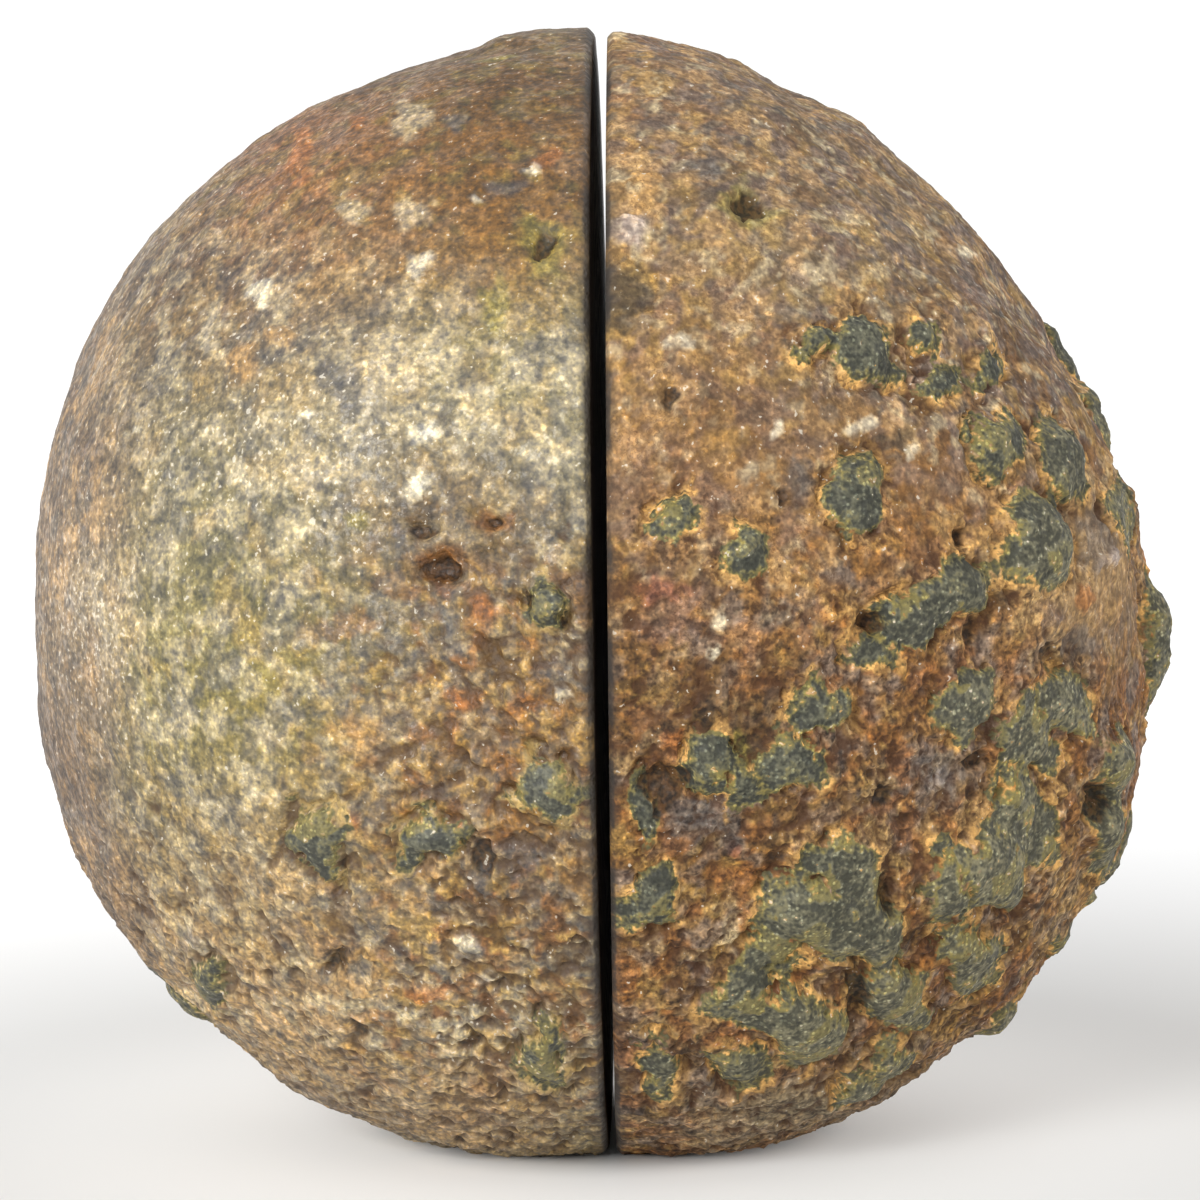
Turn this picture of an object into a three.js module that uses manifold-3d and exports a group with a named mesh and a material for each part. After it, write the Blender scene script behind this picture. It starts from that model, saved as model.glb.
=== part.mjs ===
// An agate nodule, sawn through the middle into two halves that stand face to face.
//
// Millimetres, +Z up. The origin is under the middle of the stone, on the surface it rests on.
// The saw cut runs front to back, close to the plane x = 0, and the front faces -Y.
// Each half is one solid: a ball with the half's own outline, with the crusts of the rind joined on, the
// pits cut out, and the saw cut and the small flat that it rests on cut last.

import * as THREE from "three";
import { mergeVertices } from "three/addons/utils/BufferGeometryUtils.js";
import { ImprovedNoise } from "three/addons/math/ImprovedNoise.js";
import Module from "manifold-3d";

// Driving dimensions of the whole stone
const HEART_HEIGHT = 38.8; // the heart, the middle of the saw cut, above the resting surface
const CUT_PLACE = 0.5; // the saw cut lies a little to the right of the stone's middle
const DEPTH_RADIUS = 37; // heart to front or back, measured on the cut
const GAP = 0.72; // between the sawn faces, at the heart
const GAP_OPENING = 0.0036; // radians that each half is turned, so that the gap is wider in front
const GAP_LEAN = 0.003; // radians that each half leans out, so that the gap is wider at the top
const CHAMFER = 0.5; // ground edge of each sawn face
const ROOM = 3 * HEART_HEIGHT; // side of a box that holds the whole stone

// Heart to skin, every 15 degrees from straight up, out past the far side, to straight down
const LEFT_OUTLINE = [39.4, 39.1, 39.6, 40.2, 40.3, 40.1, 40.0, 41.3, 42.0, 41.6, 41.6, 41.0, 39.8];
const RIGHT_OUTLINE = [39.4, 38.0, 36.4, 35.6, 35.2, 35.8, 37.1, 39.2, 40.2, 40.2, 40.8, 41.4, 39.8];

// Waves of the skin between its crusts: millimetres high and long
const SWELL_HEIGHT = 1.4;
const SWELL_LENGTH = 17;
const LUMP_LENGTH = 6.5;
const LEFT_LUMP_HEIGHT = 0.6; // worn smooth
const RIGHT_LUMP_HEIGHT = 1.5; // rough

// Fineness of the faceted ball: rows of triangles from the saw cut to the far side
const ROWS = 18;

// Crusts: flat-topped scabs that stand proud of the skin, with steep edges
const CRUST_HEIGHT = 0.7;
const CRUST_ROOT = 1.2; // how far a crust reaches down into the stone
const CRUST_SIDES = 8;
const CRUST_SHOULDER = 0.8; // width of the flat top, as a share of the crust's width
const PIT_SIDES = 6;
const PIT_RINGS = 4;

// The place that the front's features are described from: in front, a little to the right and above
const VIEW_DISTANCE = 450;
const VIEW_TURN = THREE.MathUtils.degToRad(0.88);
const VIEW_RISE = THREE.MathUtils.degToRad(7);
const SIGHT_ROUNDS = 6; // of the search for the skin along a line of sight
const LEAST_FACING = 0.42; // features on the very edge are described no more foreshortened than this

// Features of the front, as seen: [across, up] from the heart, then [width, height], in millimetres.
// A fifth value is a crust's own height or a pit's own depth.
const RIGHT_CRUSTS = [
  // upper right, small and scattered
  [17.7, 16.6, 4.6, 4.2], [14.3, 17.3, 2.6, 1.6], [21.7, 17.4, 1.9, 2.5], [23.4, 14.3, 2.9, 2.2],
  [26.8, 15.3, 2.1, 2.4], [27.0, 9.9, 2.7, 4.4], [31.7, 8.5, 3.1, 5.6], [29.7, 2.7, 4.2, 6.8],
  [17.1, 6.4, 3.5, 6.0], [33.9, 12.8, 3.1, 2.8, 0.9],
  // near the cut
  [4.0, 4.8, 3.0, 2.5], [9.2, 2.7, 2.8, 3.2], [1.9, -16.0, 1.5, 3.8], [2.4, -22.2, 3.2, 4.0],
  [3.0, -34.4, 2.8, 2.5],
  // the long one below the middle, and the curved one beside it
  [23.8, -0.4, 5.4, 3.7], [20.9, -2.5, 4.9, 3.5], [17.9, -5.0, 2.5, 2.1],
  [14.3, -8.7, 3.7, 4.0], [12.0, -12.3, 4.2, 4.1], [8.6, -14.0, 3.5, 2.7], [6.5, -12.1, 3.1, 4.0],
  // the right side
  [25.1, -8.8, 3.5, 4.7], [32.2, -8.7, 3.5, 4.2], [29.7, -10.8, 3.9, 4.9], [29.1, -16.8, 4.0, 5.4],
  [26.4, -20.4, 4.9, 5.9], [23.3, -21.8, 3.2, 3.5], [25.2, -26.7, 4.4, 4.0], [31.6, -25.6, 2.8, 2.8],
  [26.9, -30.5, 3.5, 3.5],
  // the large one at the bottom
  [16.1, -19.8, 5.2, 4.4], [14.3, -23.5, 6.4, 5.4], [11.0, -25.7, 4.2, 3.7], [18.3, -24.7, 4.1, 4.5],
  [8.6, -29.3, 4.8, 3.2], [13.2, -31.5, 5.9, 4.5], [8.4, -34.1, 3.5, 2.5], [19.8, -29.4, 5.1, 3.5],
  [19.2, -33.8, 3.5, 2.5], [17.3, -36.4, 4.2, 2.1],
  // those that stand out in the outline
  [36.2, 5.0, 4.0, 7.1, 0.9], [38.6, -4.9, 3.0, 8.3, 1.0], [36.6, -13.3, 3.1, 5.1, 1.0],
  [35.6, -18.1, 3.2, 5.9, 1.1],
];
const LEFT_CRUSTS = [
  [-20.0, -17.2, 3.4, 4.9], [-12.7, -17.6, 4.0, 3.2], [-3.9, -14.2, 4.4, 4.1], [-28.1, -27.7, 2.4, 3.2],
  [-4.5, -33.1, 3.2, 3.1], [-4.0, -1.1, 2.5, 2.5],
  // the worn lip beside the cut at the top
  [-4.8, 38.9, 8.4, 3.4, 0.45],
];
const RIGHT_PITS = [
  [9.7, 26.9, 2.2, 1.7, 1.1], [18.2, -2.7, 1.7, 1.7, 1.4], [24.4, 3.4, 1.3, 1.3, 0.8],
  [11.7, 6.3, 1.1, 1.2, 0.7], [3.9, 13.4, 1.2, 1.2, 0.7], [18.9, -15.1, 1.8, 1.9, 1.0],
  [26.0, -12.9, 1.5, 1.5, 0.9], [30.7, -5.1, 1.5, 1.5, 0.9], [25.5, -3.4, 0.9, 2.3, 0.9],
  [3.2, -14.3, 3.0, 3.2, 1.0], [17.1, -29.0, 1.4, 3.4, 1.5], [18.9, -21.6, 1.1, 2.9, 1.5],
  [33.9, -15.4, 1.7, 2.4, 1.3], [34.4, -21.3, 1.6, 1.8, 1.5],
];
const LEFT_PITS = [
  [-11.7, 1.6, 2.5, 2.1, 1.2], [-12.8, 4.5, 1.8, 0.8, 0.8], [-7.7, 5.0, 1.0, 1.0, 0.7],
  [-5.5, -0.9, 1.0, 1.5, 0.9], [-3.7, 24.0, 1.8, 1.5, 0.9], [-8.7, -19.1, 1.8, 2.3, 0.9],
  [-19.3, -26.4, 1.9, 1.6, 0.9], [-9.8, -32.2, 1.5, 1.2, 0.7], [-17.8, -31.1, 1.2, 1.2, 0.7],
];

// Crusts and pits that can't be seen from the front are scattered over the sides and the back
const RIGHT_HIDDEN = { seed: 7, clusters: 8, crustsEach: 2, pits: 6 };
const LEFT_HIDDEN = { seed: 23, clusters: 4, crustsEach: 2, pits: 6 };
const HIDDEN_CRUST = { least: 3.2, most: 6.5, spread: 0.1 }; // spread is a share of the radius
const HIDDEN_PIT = { least: 1.2, most: 2.4, depth: 1.0 };
const CLEAR_OF_CUT = 0.1; // scattered features keep this share of the radius from the sawn face,
const LOWEST_HIDDEN = -0.78; // and lie no lower than this share of it under the heart

const wasm = await Module();
wasm.setup();
const noise = new ImprovedNoise();
const SIGHT = lineOfSight();

const LEFT = describeHalf({
  name: "left_half",
  side: -1,
  outline: LEFT_OUTLINE,
  lumpHeight: LEFT_LUMP_HEIGHT,
  crusts: LEFT_CRUSTS,
  pits: LEFT_PITS,
  hidden: LEFT_HIDDEN,
  material: { color: 0xa08c6e, roughness: 0.55, metalness: 0 },
});
const RIGHT = describeHalf({
  name: "right_half",
  side: 1,
  outline: RIGHT_OUTLINE,
  lumpHeight: RIGHT_LUMP_HEIGHT,
  crusts: RIGHT_CRUSTS,
  pits: RIGHT_PITS,
  hidden: RIGHT_HIDDEN,
  material: { color: 0x876c4a, roughness: 0.8, metalness: 0 },
});

// A half with a smooth curve through its outline's radii
function describeHalf(half) {
  const step = Math.PI / (half.outline.length - 1);
  const angles = half.outline.map((_, place) => place * step);
  return { ...half, curve: new THREE.CubicInterpolant(angles, half.outline, 1) };
}

function outlineRadius(half, angleFromTop) {
  return half.curve.evaluate(angleFromTop)[0];
}

// The radius across two ellipse axes, at an angle from the first
function ellipseRadius(first, second, angle) {
  return 1 / Math.hypot(Math.cos(angle) / first, Math.sin(angle) / second);
}

// A direction's angle from the saw cut, and its angle about the X axis: 0 is up and 90 degrees is front
function anglesOf(direction) {
  return {
    outward: Math.asin(Math.min(1, Math.abs(direction.x))),
    around: Math.atan2(-direction.y, direction.z),
  };
}

function directionAt(side, outward, around) {
  const flat = Math.cos(outward);
  return new THREE.Vector3(side * Math.sin(outward), -flat * Math.sin(around), flat * Math.cos(around));
}

// Heart to skin, without waves, crusts and pits
function evenRadius(half, direction) {
  const { outward, around } = anglesOf(direction);
  const above = outlineRadius(half, outward);
  const below = outlineRadius(half, Math.PI - outward);
  const upright = THREE.MathUtils.lerp(below, above, (1 + Math.cos(around)) / 2);
  const inDepth = ellipseRadius(DEPTH_RADIUS, outlineRadius(half, Math.PI / 2), outward);
  return ellipseRadius(upright, inDepth, around);
}

// Heart to skin, without crusts and pits
function skinRadius(half, direction) {
  const { outward, around } = anglesOf(direction);
  const even = evenRadius(half, direction);
  // The swells fade where the outline itself is known, above and below
  const fade = Math.sin(around) ** 2 * Math.cos(outward);
  const swell = SWELL_HEIGHT * fade * noiseAt(direction, even / SWELL_LENGTH);
  return even + swell + half.lumpHeight * noiseAt(direction, even / LUMP_LENGTH);
}

function noiseAt(direction, scale) {
  return noise.noise(direction.x * scale, direction.y * scale, direction.z * scale);
}

function onSkin(half, direction) {
  return direction.clone().multiplyScalar(skinRadius(half, direction));
}

// A closed mesh as a solid that can be joined and cut
function solidFrom(geometry) {
  const bare = geometry.clone();
  bare.deleteAttribute("normal");
  bare.deleteAttribute("uv");
  const merged = mergeVertices(bare, 1e-4);
  return new wasm.Manifold(
    new wasm.Mesh({
      numProp: 3,
      vertProperties: new Float32Array(merged.attributes.position.array),
      triVerts: new Uint32Array(merged.index.array),
    }),
  );
}

function geometryFrom(solid) {
  const mesh = solid.getMesh();
  const geometry = new THREE.BufferGeometry();
  geometry.setAttribute("position", new THREE.BufferAttribute(mesh.vertProperties, 3));
  geometry.setIndex(new THREE.BufferAttribute(mesh.triVerts, 1));
  geometry.computeVertexNormals();
  return geometry;
}

function moveVertices(geometry, move) {
  const positions = geometry.attributes.position;
  const vertex = new THREE.Vector3();
  for (let i = 0; i < positions.count; i += 1) {
    vertex.fromBufferAttribute(positions, i);
    const moved = move(vertex);
    positions.setXYZ(i, moved.x, moved.y, moved.z);
  }
  return geometry;
}

// The half's outline as a whole ball about the heart, mirrored in the saw cut. An octahedron's rows of
// vertices become rings around the X axis: the first lies on the cut and the second ends the chamfer.
function ball(half) {
  const octahedron = new THREE.OctahedronGeometry(1, ROWS - 1);
  return moveVertices(octahedron, (vertex) => {
    const sum = Math.abs(vertex.x) + Math.abs(vertex.y) + Math.abs(vertex.z);
    const row = Math.round((Math.abs(vertex.x) / sum) * ROWS);
    return ringPoint(half, Math.sign(vertex.x), row, evenAngle(vertex));
  });
}

// The angle about the X axis that spaces a ring's vertices evenly
function evenAngle(vertex) {
  const ringLength = Math.abs(vertex.y) + Math.abs(vertex.z);
  const quarter = ringLength === 0 ? 0 : (Math.PI / 2) * (Math.abs(vertex.y) / ringLength);
  return Math.atan2(-Math.sign(vertex.y) * Math.sin(quarter), Math.sign(vertex.z) * Math.cos(quarter));
}

function ringPoint(half, side, row, around) {
  if (row === 0) {
    const rim = onSkin(half, directionAt(half.side, 0, around));
    return rim.setLength(rim.length() - CHAMFER);
  }
  const firstAngle = CHAMFER / DEPTH_RADIUS;
  const outward = THREE.MathUtils.lerp(firstAngle, Math.PI / 2, (row - 1) / (ROWS - 1));
  const point = onSkin(half, directionAt(half.side, outward, around));
  point.x = side * Math.abs(point.x);
  return point;
}

// The line of sight: where it starts, and what is right and up in the view, all about the heart
function lineOfSight() {
  const toEye = new THREE.Vector3(
    Math.sin(VIEW_TURN) * Math.cos(VIEW_RISE),
    -Math.cos(VIEW_TURN) * Math.cos(VIEW_RISE),
    Math.sin(VIEW_RISE),
  );
  const right = new THREE.Vector3(Math.cos(VIEW_TURN), Math.sin(VIEW_TURN), 0);
  const up = toEye.clone().cross(right);
  return { eye: toEye.multiplyScalar(VIEW_DISTANCE), right, up };
}

// The direction from the heart of what is seen at a place, or of the nearest point on the stone's edge.
// Each round looks along the sight line for a ball of the radius that the last round found there.
function seenDirection(half, across, up) {
  const place = SIGHT.right.clone().multiplyScalar(across).addScaledVector(SIGHT.up, up);
  const ray = place.clone().sub(SIGHT.eye).normalize();
  const toNearest = -SIGHT.eye.dot(ray);
  const miss = Math.sqrt(SIGHT.eye.lengthSq() - toNearest ** 2);
  let direction = place.normalize();
  for (let round = 0; round < SIGHT_ROUNDS; round += 1) {
    const radius = evenRadius(half, direction);
    if (radius > miss) {
      const distance = toNearest - Math.sqrt(radius ** 2 - miss ** 2);
      direction = SIGHT.eye.clone().addScaledVector(ray, distance).normalize();
    }
  }
  return direction;
}

// Axes to build a feature on: its point, the skin's normal there, and what the view's right and up become
// when they are laid on the skin
function seenAxes(half, across, up) {
  const normal = seenDirection(half, across, up);
  const point = onSkin(half, normal);
  const toEye = SIGHT.eye.clone().sub(point).normalize();
  const facing = Math.max(normal.dot(toEye), LEAST_FACING);
  const laid = (axis) => {
    const slid = axis.clone().addScaledVector(toEye, -axis.dot(normal) / facing);
    return slid.addScaledVector(normal, -slid.dot(normal));
  };
  return { point, normal, right: laid(SIGHT.right), up: laid(SIGHT.up) };
}

// Axes for a feature that is described square on, in a direction from the heart
function squareAxes(half, direction, turn) {
  const point = onSkin(half, direction);
  const normal = direction.clone();
  const level = new THREE.Vector3(0, 0, 1).cross(normal).normalize();
  const right = level.applyAxisAngle(normal, turn);
  return { point, normal, right, up: normal.clone().cross(right) };
}

// Moves a unit shape, whose Y axis points out of the stone, on to a feature's axes, bent to the skin
function layOn(axes, geometry, { width, height, depth, wander }) {
  const bend = 2 * axes.point.length();
  return moveVertices(geometry, (vertex) => {
    const reach = wander(Math.atan2(vertex.z, vertex.x));
    const laid = axes.right.clone().multiplyScalar((vertex.x * reach * width) / 2);
    laid.addScaledVector(axes.up, (-vertex.z * reach * height) / 2);
    const rise = vertex.y * depth - laid.lengthSq() / bend;
    return laid.add(axes.point).addScaledVector(axes.normal, rise);
  });
}

// How an uneven outline reaches out and in on its way around
function unevenness() {
  const waves = [
    { turns: 2, reach: 0.12, phase: random(0, 2 * Math.PI) },
    { turns: 3, reach: 0.12, phase: random(0, 2 * Math.PI) },
    { turns: 5, reach: 0.08, phase: random(0, 2 * Math.PI) },
  ];
  const sway = (angle) => waves.map(({ turns, reach, phase }) => reach * Math.sin(turns * angle + phase));
  return (angle) => sway(angle).reduce((sum, wave) => sum + wave, 1);
}

// The next of a fixed series of random numbers
function random(least, most) {
  return THREE.MathUtils.lerp(least, most, THREE.MathUtils.seededRandom());
}

function crust(axes, width, height, rise = CRUST_HEIGHT) {
  const profile = [
    new THREE.Vector2(0, -CRUST_ROOT / rise),
    new THREE.Vector2(1, -CRUST_ROOT / rise),
    new THREE.Vector2(CRUST_SHOULDER, 1),
    new THREE.Vector2(0, 1.15),
  ];
  const turned = new THREE.LatheGeometry(profile, CRUST_SIDES);
  return solidFrom(layOn(axes, turned, { width, height, depth: rise, wander: unevenness() }));
}

function pit(axes, width, height, depth) {
  const round = new THREE.SphereGeometry(1, PIT_SIDES, PIT_RINGS);
  return solidFrom(layOn(axes, round, { width, height, depth, wander: unevenness() }));
}

// A random place on the side or the back of a half, clear of its sawn face, its flat and the front
function hiddenDirection(half) {
  for (;;) {
    const outward = Math.asin(random(CLEAR_OF_CUT, 1));
    const around = random(0, 2 * Math.PI);
    const direction = directionAt(half.side, outward, around);
    if (direction.z > LOWEST_HIDDEN && direction.dot(SIGHT.eye) < 0) {
      return direction;
    }
  }
}

// Clusters of crusts that overlap, as on the front
function hiddenCrusts(half) {
  const crusts = [];
  for (let cluster = 0; cluster < half.hidden.clusters; cluster += 1) {
    const middle = hiddenDirection(half);
    for (let member = 0; member < half.hidden.crustsEach; member += 1) {
      const aside = new THREE.Vector3(random(-1, 1), random(-1, 1), random(-1, 1));
      const direction = middle.clone().addScaledVector(aside, HIDDEN_CRUST.spread).normalize();
      const axes = squareAxes(half, direction, random(0, Math.PI));
      const width = random(HIDDEN_CRUST.least, HIDDEN_CRUST.most);
      const height = random(HIDDEN_CRUST.least, HIDDEN_CRUST.most);
      crusts.push(crust(axes, width, height));
    }
  }
  return crusts;
}

function hiddenPits(half) {
  const pits = [];
  for (let i = 0; i < half.hidden.pits; i += 1) {
    const axes = squareAxes(half, hiddenDirection(half), random(0, Math.PI));
    const width = random(HIDDEN_PIT.least, HIDDEN_PIT.most);
    const height = random(HIDDEN_PIT.least, HIDDEN_PIT.most);
    pits.push(pit(axes, width, height, HIDDEN_PIT.depth));
  }
  return pits;
}

function seenCrusts(half) {
  return half.crusts.map(([across, up, width, height, rise]) =>
    crust(seenAxes(half, across, up), width, height, rise),
  );
}

function seenPits(half) {
  return half.pits.map(([across, up, width, height, depth]) =>
    pit(seenAxes(half, across, up), width, height, depth),
  );
}

// A roomy box whose middle lies at a place about the heart
function roomAt(x, z) {
  return solidFrom(new THREE.BoxGeometry(ROOM, ROOM, ROOM).translate(x, 0, z));
}

// Cuts a ball down to the half on its own side of the saw cut, leans it, and cuts the flat that it rests on
function sawn(stone, side) {
  const half = stone.intersect(roomAt((side * ROOM) / 2, 0));
  const leaned = solidFrom(geometryFrom(half).rotateY(side * GAP_LEAN));
  return leaned.intersect(roomAt(0, ROOM / 2 - HEART_HEIGHT));
}

function buildHalf(half) {
  THREE.MathUtils.seededRandom(half.hidden.seed);
  const crusts = [...seenCrusts(half), ...hiddenCrusts(half)];
  const pits = [...seenPits(half), ...hiddenPits(half)];
  const crusted = crusts.reduce((stone, one) => stone.add(one), solidFrom(ball(half)));
  const pitted = pits.reduce((stone, one) => stone.subtract(one), crusted);
  const material = new THREE.MeshStandardMaterial({ ...half.material, flatShading: true });
  const mesh = new THREE.Mesh(geometryFrom(sawn(pitted, half.side)), material);
  mesh.name = half.name;
  mesh.position.set((half.side * GAP) / 2, 0, 0);
  mesh.rotation.z = half.side * GAP_OPENING;
  return mesh;
}

const nodule = new THREE.Group();
nodule.position.set(CUT_PLACE, 0, HEART_HEIGHT);
nodule.add(buildHalf(LEFT), buildHalf(RIGHT));

export default nodule;
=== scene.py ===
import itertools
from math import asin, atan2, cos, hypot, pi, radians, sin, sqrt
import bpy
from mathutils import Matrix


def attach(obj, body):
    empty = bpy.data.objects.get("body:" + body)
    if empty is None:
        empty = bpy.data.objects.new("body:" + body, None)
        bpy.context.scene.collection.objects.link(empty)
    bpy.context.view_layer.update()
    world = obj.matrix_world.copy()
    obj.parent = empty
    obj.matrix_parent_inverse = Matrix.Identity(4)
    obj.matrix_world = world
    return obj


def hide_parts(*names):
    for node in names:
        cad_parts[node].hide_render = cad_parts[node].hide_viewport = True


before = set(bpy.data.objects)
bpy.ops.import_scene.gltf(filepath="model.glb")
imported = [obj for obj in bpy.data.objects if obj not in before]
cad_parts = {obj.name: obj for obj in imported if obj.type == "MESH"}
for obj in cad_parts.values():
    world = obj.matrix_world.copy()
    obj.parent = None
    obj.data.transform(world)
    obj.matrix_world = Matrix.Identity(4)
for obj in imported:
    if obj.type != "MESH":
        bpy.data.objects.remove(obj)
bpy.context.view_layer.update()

# The looks of an agate nodule that is sawn in two halves. Lengths are in millimetres unless a name says
# otherwise, and each half is worked on about its heart, the middle of its sawn face, as in the solids.

from types import SimpleNamespace

import bpy
import numpy as np
from mathutils import Matrix, Vector
from mathutils.bvhtree import BVHTree

METRE = 1000.0

# Driving dimensions of the solids
HEART_HEIGHT = 38.8
CUT_PLACE = 0.5
DEPTH_RADIUS = 37.0
GAP = 0.72
GAP_OPENING = 0.0036
GAP_LEAN = 0.003
VIEW_DISTANCE = 450.0
VIEW_TURN = radians(0.88)
CAMERA_TURN = radians(0.85)
VIEW_RISE = radians(7.0)
LEAST_FACING = 0.42
CLEAR_OF_CUT = 0.1
LOWEST_HIDDEN = -0.78
HIDDEN_SPREAD = 0.1
HIDDEN_CRUSTS_EACH = 2
HIDDEN_CRUST = (3.2, 6.5)
HIDDEN_PIT = (1.2, 2.4)
OUTLINE_STEP = radians(15)

# Fineness of the skin, and of the sawn face as it is left further from its rim
EDGE = 0.352
ROW_STEP = 0.866 * EDGE
FIRST_BODY_ROW = 3
FACE_GROWTH = 1.35
FACE_LARGEST = 2.6
SKIN_SIZE = 38.5

# The ground edge of the sawn face: its rows of vertices, how fully each is dark, and how its slope bends
# The dark of the ground edge is partly painted shade, fullest in the rows next to the gap
BEVEL_ROWS = 4
BEVEL_COVER = (1.0, 1.0, 0.9, 0.45)
BEVEL_CURVE = 1.3

# How the solids are looked at: from how far out, how far aside, and how far from the cut at the least
LOOK_START = 60.0
LOOKS_ASIDE = (0.42, 1.1, 1.1)
LEAST_OUTWARD = 0.022

# Rounds of rounding, how many of them crusts and pits get, and how far round them that holds
ROUNDING = 80
CRUST_ROUNDING = 12
CRISP_REACH = (2.4, 0.9)

# Waves in the outline of a crust or a pit, as (turns, share), and a distance that stands for none near
PATCH_WAVES = ((2, 0.12), (3, 0.12), (5, 0.08))
NONE_NEAR = 99.0

# The picture: its width at the heart, its middle from the heart, and how far the stone leans in it
PICTURE_WIDTH = 84.75
PICTURE_MIDDLE = (-0.565, -0.85)
PICTURE_LEAN = radians(0.73)
SENSOR = 36.0

# The two halves. An outline is the distance from the heart to the skin as seen from the front, every 15
# degrees from the top at the cut over the far side to the bottom. Crusts, pits and marks are rows of x and
# z as seen from the front, then width and height. The last few crusts seen may be bare: they stand out but
# have the colour of the stone.
LEFT = SimpleNamespace(
    node="left_half",
    slot="worn_rind",
    side=-1,
    bevel_width=0.45,
    bevel_bare=0.3,
    seed=23,
    outline=[39.4, 39.1, 39.6, 40.2, 40.3, 40.1, 40.0, 41.3, 42.0, 41.6, 41.6, 41.0, 39.8],
    hidden_clusters=4,
    hidden_pits=6,
    crusts=[
        (-20.0, -17.2, 3.4, 4.9), (-12.7, -17.6, 4.0, 3.2), (-3.9, -14.2, 4.4, 4.1),
        (-28.1, -27.7, 2.4, 3.2), (-4.5, -33.1, 3.2, 3.1), (-4.0, -1.1, 2.5, 2.5), (-4.8, 38.9, 8.4, 3.4),
    ],
    bare_crusts=1,
    pits=[
        (-11.7, 1.6, 2.5, 2.1), (-12.8, 4.5, 1.8, 0.8), (-7.7, 5.0, 1.0, 1.0), (-5.5, -0.9, 1.0, 1.5),
        (-3.7, 24.0, 1.8, 1.5), (-8.7, -19.1, 1.8, 2.3), (-19.3, -26.4, 1.9, 1.6),
        (-9.8, -32.2, 1.5, 1.2), (-17.8, -31.1, 1.2, 1.2),
    ],
    # Marks of the kind white are painted glints.
    marks=[
        ("slate", -14.4, 4.3, 1.4, 2.0), ("slate", -12.9, -4.3, 2.0, 2.5), ("slate", -11.0, -1.9, 1.6, 2.1),
        ("lump", -10.4, 4.2, 4.7, 2.8), ("tan", -17.4, -10.2, 3.1, 3.7), ("tan", -12.5, -19.6, 2.1, 1.7),
        ("rust", -11.7, 1.4, 3.2, 4.0), ("rust", -7.7, 4.9, 2.8, 1.7), ("olive", -3.7, 24.0, 4.2, 4.0),
        ("ring", -17.6, -27.0, 2.3, 2.0), ("orange", -13.4, -28.7, 1.7, 1.0),
        ("orange", -11.9, -28.7, 1.3, 1.0), ("orange", -20.9, 31.0, 1.3, 4.2),
        ("tan", -22.4, 18.1, 2.1, 1.8), ("tan", -25.1, 16.4, 2.4, 2.8), ("white", -12.5, 23.0, 1.8, 1.6),
        ("white", -24.0, 21.4, 1.8, 1.7), ("white", -20.7, 12.3, 1.1, 0.6), ("white", -32.8, 11.4, 1.0, 0.4),
        ("white", -12.6, 11.3, 1.8, 1.4), ("white", -13.0, 7.6, 1.7, 1.3), ("white", -10.2, -25.2, 1.8, 1.0),
        ("white", -5.3, -25.4, 1.1, 1.1), ("white", -8.4, -27.9, 1.4, 1.0), ("olive", -7.1, 37.5, 3.5, 0.6),
        ("slate", -2.1, -6.3, 1.4, 1.7), ("white", -2.7, -7.6, 1.0, 1.0), ("orange", -5.8, -8.3, 2.8, 1.7),
        ("orange", -9.8, -7.9, 2.8, 1.4), ("slate", -12.1, -14.8, 2.1, 2.1), ("olive", -7.4, 20.4, 2.8, 2.8),
        ("orange", -8.4, -2.2, 2.1, 2.4), ("olive", -17.2, 5.2, 1.3, 0.8), ("knob", -4.0, -1.1, 2.3, 2.3),
        ("orange", -17.9, -16.1, 1.0, 1.4), ("slate", -6.5, -19.1, 4.2, 2.8),
        ("pale", -14.8, 15.9, 4.2, 3.5), ("slate", -18.0, 14.9, 2.8, 3.5), ("pale", -20.2, 8.6, 4.2, 2.8),
        ("pale", -13.0, 33.4, 2.6, 2.6), ("slate", -9.9, 32.9, 2.2, 1.0), ("orange", -3.2, 30.2, 2.0, 1.0),
        ("white", -4.4, 29.5, 1.3, 0.6), ("white", -8.3, 27.5, 0.9, 0.7), ("pale", -13.0, 26.8, 2.6, 2.2),
        ("orange", -16.8, 33.3, 1.0, 1.2), ("slate", -6.4, 28.4, 2.4, 1.0), ("pale", -17.2, 27.0, 2.0, 2.4),
    ],
)
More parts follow.
